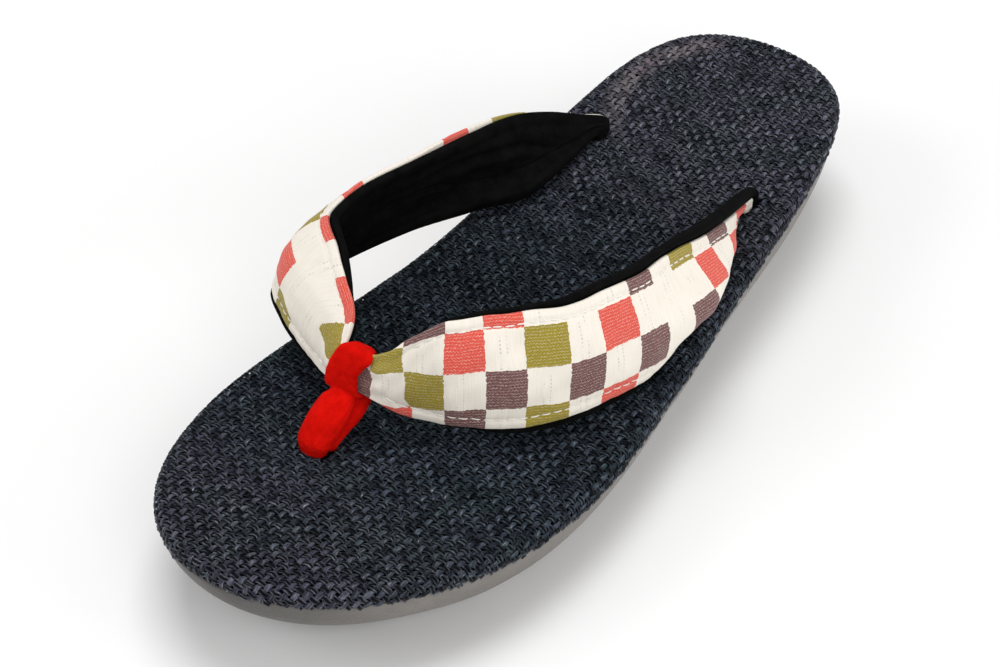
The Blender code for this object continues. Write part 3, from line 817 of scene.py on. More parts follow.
def build_weave(lengthways, settings):
    """The strands of one direction of the plain weave, each a flat ribbon.

    Strand i runs along the line i pitches from the middle and stands
    +-wave * tanh(k cos(pi (s - i))) / tanh k above the sheet, s being the distance
    along it in pitches; the other direction has the opposite sign. A ribbon's section
    is flat below and domed above, or folded to a groove in a crossways strand."""
    pitch = settings.pitch
    width = pitch * (settings.width_share if lengthways else settings.cross_share)
    rng = np.random.default_rng(3 if lengthways else 4)
    half_lines = int((60 * MM if lengthways else 130 * MM) / pitch)
    half_steps = int((130 * MM if lengthways else 60 * MM) / pitch) * 3
    lines = np.arange(-half_lines, half_lines + 1)
    steps = np.arange(-half_steps, half_steps + 1) / 3.0
    line, step = np.meshgrid(lines, steps, indexing="ij")
    sharp = 1.5
    wave = settings.wave * np.tanh(sharp * np.cos(math.pi * (step - line))) / math.tanh(sharp)
    if not lengthways:
        wave = -wave
    shape = (len(lines), 1)
    drift = 0.05 * pitch * np.sin(0.9 * step + rng.uniform(0, 6.3, shape)) \
        + 0.035 * pitch * rng.normal(0, 1, line.shape)
    broad = width * (1 + 0.07 * rng.normal(0, 1, shape)
                     + 0.05 * np.sin(0.63 * step + rng.uniform(0, 6.3, shape))
                     + 0.03 * rng.normal(0, 1, line.shape))
    high = settings.wave * 0.10 * rng.normal(0, 1, line.shape)
    roll = rng.normal(0, 0.10, line.shape)
    across = np.array([-0.5, -0.28, 0.0, 0.28, 0.5, 0.0])
    rise = np.array([0.0, 0.36, 0.5, 0.36, 0.0, -0.5] if lengthways
                    else [0.05, 0.5, 0.05, 0.5, 0.05, -0.5])
    offset = drift[..., None] + broad[..., None] * across
    lift = (settings.seat + wave + high)[..., None] + settings.thickness * rise \
        + roll[..., None] * broad[..., None] * across * 0.35
    u = line[..., None] * pitch + offset
    v = step[..., None] * pitch + 0 * offset
    x, y = (u, v) if lengthways else (v, u)
    points, over = draped(x, y, lift)
    hang = WEAVE_HANG - TOE_LIFT * np.clip((-y[..., 2] / MM - 90) / 20, 0, 1)
    end = EDGE_ROUND * math.pi / 2 + hang + 0.25 * MM * rng.uniform(-1, 1, shape)
    kept = (over[..., 2] < end) & ~inside_fittings(x[..., 2], y[..., 2])
    sides = len(across)
    count = points.shape[0] * points.shape[1]
    index = np.arange(count).reshape(line.shape) * sides
    joined = kept[:, :-1] & kept[:, 1:]
    base, follow = index[:, :-1][joined], index[:, 1:][joined]
    corner = np.arange(sides)
    after = (corner + 1) % sides
    quads = np.stack([base[:, None] + corner, base[:, None] + after,
                      follow[:, None] + after, follow[:, None] + corner], axis=-1)
    before = np.zeros_like(kept)
    before[:, 1:] = joined
    behind = np.zeros_like(kept)
    behind[:, :-1] = joined
    first = index[behind & ~before][:, None] + corner[::-1]
    last = index[before & ~behind][:, None] + corner
    flat = points.reshape(-1, 3)
    thread = np.stack([v / pitch + 0 * u,
                       line[..., None] + 0.5 + 0.8 * across + 0 * u], axis=-1).reshape(-1, 2)
    raised = (wave / settings.wave)[..., None]
    fray = np.stack([over / MM, raised + 0 * over], axis=-1).reshape(-1, 2)
    quads = quads.reshape(-1, 4)
    used, quads = np.unique(quads, return_inverse=True)
    lookup = np.full(len(flat), -1)
    lookup[used] = np.arange(len(used))
    name = "weave_lengthways" if lengthways else "weave_crossways"
    return add_mesh(name, flat[used], [quads.reshape(-1, 4), lookup[first], lookup[last]],
                    {"thread": thread[used], "fray": fray[used]})


# ---------------------------------------------------------------- sole and tie
OUTLINE_STEPS = 480
CAP_STEPS = 40
CORE_DEPTH = 0.85 * MM    # how far the board lies under the face of the weave


def capped(name, rings, below, above):
    """A closed solid from rings of the outline, lowest first, with rows of points
    across its underside and its top, at the heights below(x, y) and above(x, y)."""
    columns = rings[0].shape[0]
    half = columns // 2
    points = [np.concatenate(rings)]
    groups = [strips(len(rings), columns)]
    share = np.linspace(0, 1, CAP_STEPS + 1)[1:-1]
    total = len(rings) * columns
    for level, height in ((0, below), (len(rings) - 1, above)):
        edge = rings[level]
        outer = edge[1:half]
        inner = edge[columns - 1:half:-1]
        inside = outer[:, None] + (inner - outer)[:, None] * share[None, :, None]
        inside[..., 2] = height(inside[..., 0], inside[..., 1])
        start = level * columns
        rows = np.concatenate([
            (start + np.arange(1, half))[:, None],
            total + np.arange((half - 1) * len(share)).reshape(half - 1, -1),
            (start + np.arange(columns - 1, half, -1))[:, None]], axis=1)
        quads = np.stack([rows[:-1, :-1], rows[1:, :-1], rows[1:, 1:], rows[:-1, 1:]],
                         axis=-1).reshape(-1, 4)
        toe = np.stack([0 * rows[0, 1:] + start, rows[0, :-1], rows[0, 1:]], axis=1)
        heel = np.stack([rows[-1, :-1], 0 * rows[-1, 1:] + start + half, rows[-1, 1:]],
                        axis=1)
        if level:
            quads, toe, heel = quads[:, ::-1], toe[:, ::-1], heel[:, ::-1]
        groups += [quads, toe, heel]
        points.append(inside.reshape(-1, 3))
        total += inside.shape[0] * inside.shape[1]
    return add_mesh(name, np.concatenate(points), groups)


def outline_ring(move, height):
    """The outline moved in by a distance, at given heights."""
    x, y = moved(*outline(OUTLINE_STEPS), -move)
    return np.stack([x, y, height + 0 * x], axis=1)


def build_sole():
    """The moulded wedge: rings of the outline moved in by inset * down ** WALL_CURVE,
    with small rounds at both edges."""
    x, y = outline(OUTLINE_STEPS)
    inset, top = plan("inset", y), plan("rim", y)
    foot = underside(*moved(x, y, -(inset + SOLE_STEP)))
    lip = 0.3 * MM
    rings = [outline_ring(inset + SOLE_STEP + SOLE_ROUND * (1 - math.sin(angle)),
                          foot + SOLE_ROUND * (1 - math.cos(angle)))
             for angle in np.linspace(0, math.pi / 2, 5)[:-1]]
    rings += [outline_ring(SOLE_STEP + inset * down ** WALL_CURVE,
                           top - lip + (foot + SOLE_ROUND - top + lip) * down)
              for down in np.linspace(1, 0.02, 26)]
    rings += [outline_ring(SOLE_STEP + lip * (1 - math.cos(angle)),
                           top - lip * (1 - math.sin(angle)))
              for angle in np.linspace(0, math.pi / 2, 4)[1:]]
    return capped("sole_moulded", rings, underside, lambda a, b: plan("rim", b) + 0 * a)


def build_board():
    """The board that carries the weave: the footbed's form, CORE_DEPTH further in."""
    _, y = outline(OUTLINE_STEPS)
    bottom = plan("rim", y) + GAP
    edge = bed_top(*outline(OUTLINE_STEPS))
    reach = EDGE_ROUND - CORE_DEPTH
    rings = [outline_ring(CORE_DEPTH, bottom)]
    rings += [outline_ring(CORE_DEPTH + reach * (1 - math.cos(angle)),
                           edge - EDGE_ROUND + reach * math.sin(angle))
              for angle in np.linspace(0, math.pi / 2, 5)]
    return capped("footbed_board", rings,
                  lambda a, b: plan("rim", b) + GAP + 0 * a,
                  lambda a, b: bed_top(a, b) - CORE_DEPTH)


def leg_sections(table, count, steps):
    """Level oval sections of one leg of the tie, smooth through the table's rows and
    drawn in to a rounded end at both ends."""
    rows = np.array(table)
    knots = np.concatenate([[0], np.cumsum(np.linalg.norm(np.diff(rows[:, :3], axis=0), axis=1))])
    at = np.linspace(0, knots[-1], steps)
    found = {name: through(knots, rows[:, i], at) for i, name in enumerate(LEG_COLUMNS)}
    x, y = found["x"] * MM, found["y"] * MM
    z = bed_top(x, y) + found["up"] * MM
    middle = np.stack([x, y, z], axis=1)
    tilt = unit(np.gradient(middle, axis=0))
    wide = np.tile([1.0, 0.0, 0.0], (steps, 1))
    deep = unit(np.cross(tilt, wide))
    end = np.clip(np.minimum(at, knots[-1] - at) / 1.6, 0, 1)
    rounded = np.sqrt(1 - (1 - end) ** 2) * 0.97 + 0.03
    angle = np.linspace(0, 2 * math.pi, count, endpoint=False)
    return (middle[:, None]
            + wide[:, None] * (np.cos(angle)[None] * (found["half_x"] * rounded)[:, None])[..., None] * MM
            + deep[:, None] * (np.sin(angle)[None] * (found["half_y"] * rounded)[:, None])[..., None] * MM)


def wrap_sections(strap, count):
    """The band round the strap: a ring of rounded sections, so that the strap passes
    through it. The strap's own section is moved out by the gap and the wall."""
    station = ARM_STEPS
    behind = COVER_WALL + GAP
    puff = (LINING_EDGE + LINING_PUFF * (1 - np.abs(2 * strap.share - 1) ** 2.2)) * strap.pad[station]
    sheet = Sheet(strap, 0 * strap.along + RIM_REVEAL, 0 * strap.along + RIM_REVEAL)
    front, side, way = sheet.face[station], sheet.side[station], sheet.way[station]
    back = front - side * (behind + puff)[:, None]
    tip = behind + 0.5 * puff[0]
    low = front[-1] - side[-1] * tip + way[-1] * EDGE_ROLL
    top = front[0] - side[0] * tip - way[0] * EDGE_ROLL
    flat = np.concatenate([front, [low], back[::-1], [top]])
    core = (strap.top[station] + flat[:, :1] * strap.down[station]
            + flat[:, 1:] * strap.out[station])
    closed = np.concatenate([core, core[:1]])
    run = np.concatenate([[0], np.cumsum(np.linalg.norm(np.diff(closed, axis=0), axis=1))])
    at = np.linspace(0, run[-1], count, endpoint=False)
    y = np.interp(at, run, closed[:, 1])
    z = np.interp(at, run, closed[:, 2])
    for _ in range(6):
        y = (np.roll(y, 1) + 2 * y + np.roll(y, -1)) / 4
        z = (np.roll(z, 1) + 2 * z + np.roll(z, -1)) / 4
    lines = np.linspace(0, 1, 25)
    knots = np.linspace(0, 1, len(WRAP))
    columns = {name: through(knots, column(WRAP, WRAP_COLUMNS, name), lines)
               for name in WRAP_COLUMNS}
    sections = []
    sides = [(front_x, back_x, wall) for front_x, back_x, wall in
             zip(columns["front"], columns["back"], columns["wall"])]
    sides += [(front_x * 0.98, back_x * 0.98 + 0.03, 0.05) for front_x, back_x, _ in sides[::-1]]
    for front_x, back_x, wall in sides:
        height = np.clip((z - z.min()) / (z.max() - z.min()), 0, 1)
        a, b = grown(y, z, GAP + wall * (0.72 - 0.17 * height**2) * MM)
        depth = (a - a.min()) / (a.max() - a.min())
        left = columns["front"][0]
        lost = through(column(WRAP_SLIM, SLIM_COLUMNS, "height"),
                       column(WRAP_SLIM, SLIM_COLUMNS, "lost"), height)
        slim = left + (front_x - left) * (1 - lost * (1 - depth))
        sections.append(np.stack([TIE_X + (slim + (back_x - slim) * depth) * MM, a, b],
                                 axis=1))
    return np.stack(sections)


def build_tie(voxel):
    """The red tie: the band and its two legs are joined by a voxel remesh, smoothed so
    that the joints become soft creases, and roughened like felt."""
    strap = StrapRun()
    band = wrap_sections(strap, 120)
    rows, columns = band.shape[:2]
    ring = strips(rows, columns)
    closing = np.stack([(rows - 1) * columns + np.arange(columns),
                        (rows - 1) * columns + (np.arange(columns) + 1) % columns,
                        (np.arange(columns) + 1) % columns, np.arange(columns)], axis=1)
    parts = [add_mesh("tie_band", band.reshape(-1, 3), [ring, closing])]
    parts += [tube("tie_leg", leg_sections(table, 40, 40)) for table in (FRONT_LEG, BACK_LEG)]
    tie = joined("toe_tie_velvet", parts)
    apply_modifier(tie, "REMESH", mode="VOXEL", voxel_size=voxel, use_smooth_shade=True)
    apply_modifier(tie, "SMOOTH", factor=0.5, iterations=3)
    points = read_points(tie)
    normals = read_normals(tie)
    x, y, z = (points / MM).T
    rough = (0.04 * np.sin(2.1 * x + 1.3 * np.sin(1.7 * z) + 0.6 * y)
             + 0.03 * np.sin(3.7 * z - 2.3 * y + 1.1 * np.sin(2.9 * x)))
    write_points(tie, points + normals * (rough * MM)[:, None])
    tie.data.polygons.foreach_set("use_smooth", np.ones(len(tie.data.polygons), dtype=bool))
    return tie


def joined(name, parts):
    """One object from several, with its place in its mesh."""
    points, corners, starts, base, loops = [], [], [], 0, 0
    for part in parts:
        mesh = part.data
        co = read_points(part)
        index = np.empty(len(mesh.loops), dtype=np.int32)
        mesh.loops.foreach_get("vertex_index", index)
        first = np.empty(len(mesh.polygons), dtype=np.int32)
        mesh.polygons.foreach_get("loop_start", first)
        points.append(co)
        corners.append(index + base)
        starts.append(first + loops)
        base += len(co)
        loops += len(index)
        bpy.data.objects.remove(part)
    mesh = bpy.data.meshes.new(name)
    mesh.vertices.add(base)
    mesh.vertices.foreach_set("co", np.concatenate(points).astype(np.float32).ravel())
    mesh.loops.add(loops)
    mesh.loops.foreach_set("vertex_index", np.concatenate(corners))
    mesh.polygons.add(sum(len(part) for part in starts))
    mesh.polygons.foreach_set("loop_start", np.concatenate(starts))
    mesh.update(calc_edges=True)
    made = bpy.data.objects.new(name, mesh)
    bpy.context.scene.collection.objects.link(made)
    return made


def apply_modifier(piece, kind, **settings):
    """Puts a modifier on a piece and makes its result the piece's mesh."""
    modifier = piece.modifiers.new(kind.lower(), kind)
    for name, value in settings.items():
        setattr(modifier, name, value)
    shown = piece.evaluated_get(bpy.context.evaluated_depsgraph_get())
    mesh = bpy.data.meshes.new_from_object(shown)
    piece.modifiers.clear()
    piece.data = mesh


def read_points(piece):
    """The piece's points as an array."""
    co = np.empty(len(piece.data.vertices) * 3, dtype=np.float32)
    piece.data.vertices.foreach_get("co", co)
    return co.reshape(-1, 3).astype(float)


def read_normals(piece):
    """The piece's point normals as an array."""
    found = np.empty(len(piece.data.vertices) * 3, dtype=np.float32)
    piece.data.vertices.foreach_get("normal", found)
    return found.reshape(-1, 3).astype(float)


def write_points(piece, points):
    """Moves the piece's points."""
    piece.data.vertices.foreach_set("co", points.astype(np.float32).ravel())
    piece.data.update()


# ---------------------------------------------------------------- materials
class Wire:
    """One varying value of a material. Sums on it add their own Math nodes."""

    def __init__(self, finish, socket):
        self.finish, self.socket = finish, socket

    def __add__(self, other):
        return self.finish.math("ADD", self, other)

    def __sub__(self, other):
        return self.finish.math("SUBTRACT", self, other)

    def __rsub__(self, other):
        return self.finish.math("SUBTRACT", other, self)

    def __mul__(self, other):
        return self.finish.math("MULTIPLY", self, other)

    def __truediv__(self, other):
        return self.finish.math("DIVIDE", self, other)

    def __pow__(self, other):
        return self.finish.math("POWER", self, other)

    def __gt__(self, other):
        return self.finish.math("GREATER_THAN", self, other)

    def __lt__(self, other):
        return self.finish.math("LESS_THAN", self, other)

    def __mod__(self, other):
        return self.finish.math("FLOORED_MODULO", self, other)

    def __abs__(self):
        return self.finish.math("ABSOLUTE", self)

    def floor(self):
        return self.finish.math("FLOOR", self)

    def sine(self):
        return self.finish.math("SINE", self)

    __radd__ = __add__
    __rmul__ = __mul__


class Finish:
    """One procedural material, and the nodes that it is made of."""

    def __init__(self, name):
        self.material = bpy.data.materials.new(name)
        self.material.use_nodes = True
        self.tree = self.material.node_tree
        self.tree.nodes.clear()

    def node(self, kind, settings=None, sockets=None):
        """A node of a type: its settings first, then its sockets' values or links."""
        node = self.tree.nodes.new(kind)
        for name, value in (settings or {}).items():
            if name == "stops":
                self.set_stops(node.color_ramp, value)
            elif name == "interpolation":
                node.color_ramp.interpolation = value
            else:
                setattr(node, name, value)
        for key, value in (sockets or {}).items():
            if isinstance(value, Wire):
                self.tree.links.new(value.socket, node.inputs[key])
            else:
                node.inputs[key].default_value = value
        return node

    @staticmethod
    def set_stops(ramp, stops):
        """A ramp's stops, from (place, colour) pairs in order."""
        while len(ramp.elements) > 1:
            ramp.elements.remove(ramp.elements[-1])
        ramp.elements[0].position, ramp.elements[0].color = stops[0]
        for place, colour in stops[1:]:
            ramp.elements.new(place).color = colour

    def wire(self, node, output=0):
        return Wire(self, node.outputs[output])

    def math(self, operation, *values):
        return self.wire(self.node("ShaderNodeMath", {"operation": operation},
                                   dict(enumerate(values))))

    def split(self, vector):
        """The three parts of a vector."""
        node = self.node("ShaderNodeSeparateXYZ", None, {0: vector})
        return [self.wire(node, index) for index in range(3)]

    def joined(self, x, y, z=0.0):
        """A vector from its parts."""
        return self.wire(self.node("ShaderNodeCombineXYZ", None, {0: x, 1: y, 2: z}))

    def place(self):
        """Object coordinates, in metres."""
        return self.wire(self.node("ShaderNodeTexCoord"), "Object")

    def map(self, name):
        """A UV map of the piece."""
        return self.wire(self.node("ShaderNodeUVMap", {"uv_map": name}))

    def noise(self, where, scale, detail=2.0, roughness=0.5):
        return self.wire(self.node("ShaderNodeTexNoise", None,
                                   {"Vector": where, "Scale": scale, "Detail": detail,
                                    "Roughness": roughness}))

    def cells(self, where, scale, feature="F1"):
        return self.wire(self.node("ShaderNodeTexVoronoi", {"feature": feature},
                                   {"Vector": where, "Scale": scale}))

    def chance(self, value):
        """An even random number for each whole value."""
        return self.wire(self.node("ShaderNodeTexWhiteNoise", {"noise_dimensions": "1D"},
                                   {"W": value}))

    def smooth(self, value, low, high):
        """0 below low and 1 above high, with soft ends."""
        return self.wire(self.node("ShaderNodeMapRange", {"interpolation_type": "SMOOTHSTEP"},
                                   {"Value": value, "From Min": low, "From Max": high}))

    def blend(self, factor, first, second, kind="MIX"):
        """Two colours mixed."""
        node = self.node("ShaderNodeMix", {"data_type": "RGBA", "blend_type": kind},
                         {0: factor, 6: self.tinted(first), 7: self.tinted(second)})
        return self.wire(node, 2)

    @staticmethod
    def tinted(colour):
        """A colour with its alpha, or a wire as it is."""
        return colour if isinstance(colour, Wire) else (*tuple(colour)[:3], 1.0)

    def grey(self, value):
        """A colour whose three parts are one value."""
        return self.wire(self.node("ShaderNodeCombineColor", None, {0: value, 1: value, 2: value}))

    def bump(self, height, distance, strength=1.0):
        """A normal from a height in units of distance, in metres."""
        return self.wire(self.node("ShaderNodeBump", None,
                                   {"Height": height, "Distance": distance,
                                    "Strength": strength}))

    def surface(self, colour, roughness, normal=None, **constants):
        """The shader itself: what varies is linked, and what doesn't is set on it."""
        sockets = {"Base Color": self.tinted(colour), "Roughness": roughness}
        if normal is not None:
            sockets["Normal"] = normal
        sockets.update({name.replace("_", " "): value for name, value in constants.items()})
        shader = self.node("ShaderNodeBsdfPrincipled", None, sockets)
        self.node("ShaderNodeOutputMaterial", None, {"Surface": self.wire(shader)})
        return self.material


def print_stops(row, colours):
    """Stops of one row of the print: a colour with alpha 1 at each square, and bare
    cloth with alpha 0 after it, from the strings of the outer and the inner arm."""
    bare = (*colours["."][:3], 0.0)
    stops = [(0.0, bare)]
    for arm, start in zip(row, (0, INNER_START)):
        previous = "."
        for index, letter in enumerate(arm):
            if letter != previous:
                ink = (*colours[letter][:3], 0.0 if letter == "." else 1.0)
                stops.append(((start + index) / PRINT_SPAN, ink))
            previous = letter
    return stops


def print_finish(look):
    """Slub cotton with printed squares.

    The map counts squares along and down the strap. Each row of the print is a ramp
    along it. The squares' edges step by a thread, white threads show through the ink
    in broken lines, and fine ribs and thick threads run across the bare cloth."""
    f = Finish("print_cotton")
    along, down, _ = f.split(f.map("cloth"))
    jag_along = (f.chance((down * 16).floor()) - 0.5) * 0.024
    jag_down = (f.chance((along * 16).floor() + 71) - 0.5) * 0.024
    slow = f.noise(f.joined(along, down), 1.2, 2.0) - 0.5
    place = (along + jag_along + slow * 0.05 + 1) / PRINT_SPAN
    height = down + jag_down + slow * 0.05
    colours = {"r": look.red, "g": look.green, "b": look.brown, ".": look.bare}
    rows = [f.node("ShaderNodeValToRGB", {"interpolation": "CONSTANT",
                                          "stops": print_stops(row, colours)}, {0: place})
            for row in PRINT]
    ink, cover = f.wire(rows[0], 0), f.wire(rows[0], 1)
    for edge, row in enumerate(rows[1:]):
        below = height > float(edge)
        ink = f.blend(below, ink, f.wire(row, 0))
        cover = cover + below * (f.wire(row, 1) - cover)
    where = f.joined(along, down)
    # zigzag lines of pale thread through the ink, thirteen to a square
    zigzag = abs((along * 13.0 + f.chance((down * 13.0).floor()) * 0.6) % 1.0 - 0.5)
    line = down * 13.0 + zigzag * 0.85 + f.noise(where, 3.0, 2.0) * 1.1
    in_line = 1 - f.smooth(abs(line % 1.0 - 0.5), 0.02, 0.22)
    worn = f.smooth(f.noise(where, 17.0, 3.0, 0.75), 0.40, 0.62)
    speck = f.smooth(f.noise(where, 30.0, 2.0, 0.8), 0.60, 0.70)
    fleck = in_line * (0.12 + worn * 0.88) + speck * (1 - in_line) * 0.7
    mottle = f.noise(where, 42.0, 2.0, 0.7)
    deep = f.blend(f.smooth(mottle, 0.35, 0.75) * 0.30, ink, (0.02, 0.015, 0.012), "MULTIPLY")
    inked = f.blend(fleck * look.fleck, deep, look.bare)
    # bare cloth: thick and thin threads, and dotted lines across it
    thread = f.noise(f.joined(along * 34, down * 1.6), 1.0, 3.0, 0.6)
    bare = f.blend(f.smooth(thread, 0.30, 0.75), look.bare,
                   tuple(part * shade for part, shade in zip(look.bare, (0.93, 0.92, 0.90))))
    column_at = along + f.noise(where, 1.6, 1.0) * 0.05
    dotted = (1 - f.smooth(abs(column_at % 1.0 - 0.44), 0.010, 0.030)) \
        + (1 - f.smooth(abs(column_at % 1.0 - 0.60), 0.008, 0.024))
    dots = f.smooth(abs((down * 10.5) % 1.0 - 0.5), 0.12, 0.32)
    seen = f.smooth(f.noise(where, 3.1, 2.0), 0.42, 0.62)
    bare = f.blend(dotted * dots * seen * 0.42, bare, (0.30, 0.27, 0.27))
    colour = f.blend(cover, bare, inked)
    rib = (along * 2 * math.pi * SQUARE / 0.62).sine()
    weft = (down * 2 * math.pi * 10 / 0.55).sine()
    cloth = rib * 0.14 + weft * 0.16 + thread * 0.25 + fleck * cover * 0.5
    normal = f.bump(cloth, 0.08 * MM, 0.6)
    return f.surface(colour, 0.88, normal, Sheen_Weight=0.12, Sheen_Roughness=0.5,
                     Specular_IOR_Level=0.25)


def velvet_finish(name, colour, light, sheen):
    """Short pile: a noise at the size of the pile and a slower one where it lies
    another way, both in Object coordinates, under a sheen."""
    f = Finish(name)
    where = f.place()
    pile = f.noise(where, 2600.0, 2.0, 0.6)
    lay = f.noise(where, 260.0, 3.0, 0.6)
    shade = f.smooth(lay * 0.6 + pile * 0.4, 0.30, 0.72)
    mixed = f.blend(shade, colour, light)
    normal = f.bump(pile * 0.7 + lay * 0.6, 0.16 * MM, 0.8)
    return f.surface(mixed, 0.96, normal, Sheen_Weight=sheen, Sheen_Roughness=0.42,
                     Sheen_Tint=(*light, 1.0), Specular_IOR_Level=0.05)


def strand_finish(name, look, light, coat, fold):
    """Glossy twisted strands: fibres run along each strand, every strand and every
    crossing has its own shade, and the ends at the foot of the edge are frayed. fold
    sets the painted shade in the groove of a folded strand, most where it lies on top.
    Also painted: glints on streaks of fibre, shade under the strap, a sheen at the heel
    and the toe, and a reflection on the heel's rim."""
    f = Finish(name)
    along, line, _ = f.split(f.map("thread"))
    over, raised, _ = f.split(f.map("fray"))
    own = f.chance(line.floor())
    crossing = f.chance((along + 0.5).floor() * 57.0 + line.floor())
    fibre = f.noise(f.joined(along * 1.1 + own * 40, line * 5.0), 1.0, 2.0, 0.6)
    fine = f.noise(f.joined(along * 2.6 + own * 23, line * 12.0), 1.0, 3.0, 0.6)
    shade = f.smooth(fibre * 0.60 + fine * 0.30 + crossing * 0.14 + own * 0.08, 0.40, 0.76)
    colour = f.blend(shade, look.dark, light)
    colour = f.blend(f.smooth(f.noise(f.place(), 60.0, 2.0), 0.40, 0.62) * 0.7,
                     colour, look.tint, "MULTIPLY")
    # painted glints: thin pale streaks of fibre, which also carry the coat
    glint_streak = f.smooth(fibre, 0.54, 0.66) * f.smooth(fine + crossing * 0.4, 0.56, 0.84)
    colour = f.blend(glint_streak * 0.5, colour, look.glint)
    # painted shade: the groove of a crossways strand darker, most where it lies on top, by fold
    middle = abs(line % 1.0 - 0.5 + (fine - 0.5) * 0.10)
    groove = (1 - f.smooth(middle, 0.13, 0.23)) * f.smooth(raised, -0.7, 0.0)
    colour = f.blend(groove * fold, colour, look.deep)
    side, front, _ = f.split(f.place())
    # painted sheen: the strands paler towards the heel and the toe
    painted_sheen = f.smooth(front, 0.0, 0.09) + (1 - f.smooth(front, -0.115, -0.075)) * 0.5
    colour = f.blend(painted_sheen, colour, (1.36, 1.32, 1.30), "MULTIPLY")
    # painted shade: the strands darker under the strap
    kept = 1 - f.smooth(abs(front + 0.025), 0.035, 0.080)
    colour = f.blend(kept * 0.9, colour, look.strap_shade, "MULTIPLY")
    # a painted reflection: a pale arc inside the rim of the heel, on the inner side
    reach = ((side - 5 * MM) ** 2.0 + (front - 87 * MM) ** 2.0) ** 0.5
    arc = (1 - f.smooth(abs(reach - 32.5 * MM), 0.8 * MM, 4.6 * MM)) \
        * (1 - f.smooth(side, -22 * MM, -10 * MM)) * f.smooth(front, 55 * MM, 85 * MM)
    colour = f.blend(arc * f.smooth(fine + crossing * 0.3, 0.35, 0.85) * 0.55,
                     colour, look.painted_sheen)
    violet = f.chance(own * 31.0 + (along * 0.25).floor() * 7.0)
    colour = f.blend(f.smooth(violet, 0.5, 1.0) * 0.7, colour, look.violet, "MULTIPLY")
    frayed = f.smooth(over, 5.6, 6.3) * f.smooth(f.noise(f.place(), 900.0, 3.0), 0.44, 0.60)
    colour = f.blend(frayed * 0.5, colour, (0.36, 0.34, 0.32))
    gloss = 0.24 + (1 - glint_streak) * fine * 0.40 + frayed * 0.3
    normal = f.bump(fibre * 0.75 + fine * 0.45, 0.34 * MM, 0.9)
    return f.surface(colour, gloss, normal, Specular_IOR_Level=0.05, Coat_Weight=glint_streak * coat,
                     Coat_Roughness=0.16)


def board_finish(look):
    """The board under the weave, seen only between the strands: dark and fibrous."""
    f = Finish("board_fibre")
    where = f.place()
    grain = f.noise(where, 900.0, 3.0, 0.6)
    colour = f.blend(grain, (0.0005, 0.0006, 0.001), tuple(look.dark))
    return f.surface(colour, 0.9, f.bump(grain, 0.15 * MM, 0.6), Specular_IOR_Level=0.05)


def sole_finish(look):
    """Moulded rubber with a fine leather grain: cells broken by a slower noise, paler in scuffs, with
    painted light that makes the wall paler towards the outer side.
    """
    f = Finish("moulded_rubber")
    where = f.place()
    bent = f.noise(where, 420.0, 2.0)
    cells = f.cells(f.wire(f.node("ShaderNodeVectorMath", {"operation": "ADD"},
                                  {0: where, 1: f.wire(f.node(
                                      "ShaderNodeVectorMath", {"operation": "SCALE"},
                                      {0: f.grey(bent), "Scale": 0.0012}))})),
                    950.0, "F1")
    pores = f.noise(where, 2400.0, 2.0, 0.6)
    scuff = f.noise(where, 60.0, 4.0, 0.6)
    low = f.smooth(1 - f.split(where)[2] / (12 * MM), 0.2, 1.0)
    # painted light: the wall paler towards the outer side, +X, where the lamps fall on it
    painted_side_light = f.smooth(f.split(where)[0] + (scuff - 0.5) * 20 * MM, -18 * MM, 46 * MM)
    colour = f.blend(f.smooth(scuff, 0.35, 0.75) * 0.22 + painted_side_light * 0.78,
                     look.colour, look.scuffed_and_lit)
    colour = f.blend(low * f.smooth(scuff, 0.45, 0.65) * 0.35, colour, (0.16, 0.15, 0.14))
    rough = 0.36 + scuff * 0.12 + cells * 0.08
    normal = f.bump(cells * 0.9 + pores * 0.35, 0.16 * MM, 0.65)
    return f.surface(colour, rough, normal, Specular_IOR_Level=0.5)


def thread_finish():
    """White sewing thread with its twist."""
    f = Finish("sewing_thread")
    where = f.place()
    twist = f.noise(where, 3000.0, 2.0)
    colour = f.blend(twist, (0.88, 0.85, 0.79), (0.74, 0.70, 0.64))
    return f.surface(colour, 0.7, f.bump(twist, 0.05 * MM, 0.6), Sheen_Weight=0.2)


def floor_finish(look):
    """A plain pale floor, with an even, barely uneven tone."""
    f = Finish("studio_floor")
    tone = f.noise(f.place(), 3.0, 1.0)
    colour = f.blend(tone, look.floor, tuple(part * 0.985 for part in look.floor))
    return f.surface(colour, 0.65, Specular_IOR_Level=0.2)


def paint(piece, material):
    """The piece's only material."""
    piece.data.materials.clear()
    piece.data.materials.append(material)


# ---------------------------------------------------------------- what a user can set
def colour_property(name, description, default):
    return FloatVectorProperty(name=name, description=description, default=default,
                               subtype="COLOR", size=3, min=0, max=1)


class SandalSole(bpy.types.PropertyGroup):
    colour: colour_property("Rubber", "Colour of the moulded sole", (0.012, 0.011, 0.010))
    # also the painted light on the outer side of the wall
    scuffed_and_lit: colour_property("Scuffed", "Colour of the rubber where it is rubbed",
                             (0.190, 0.172, 0.156))


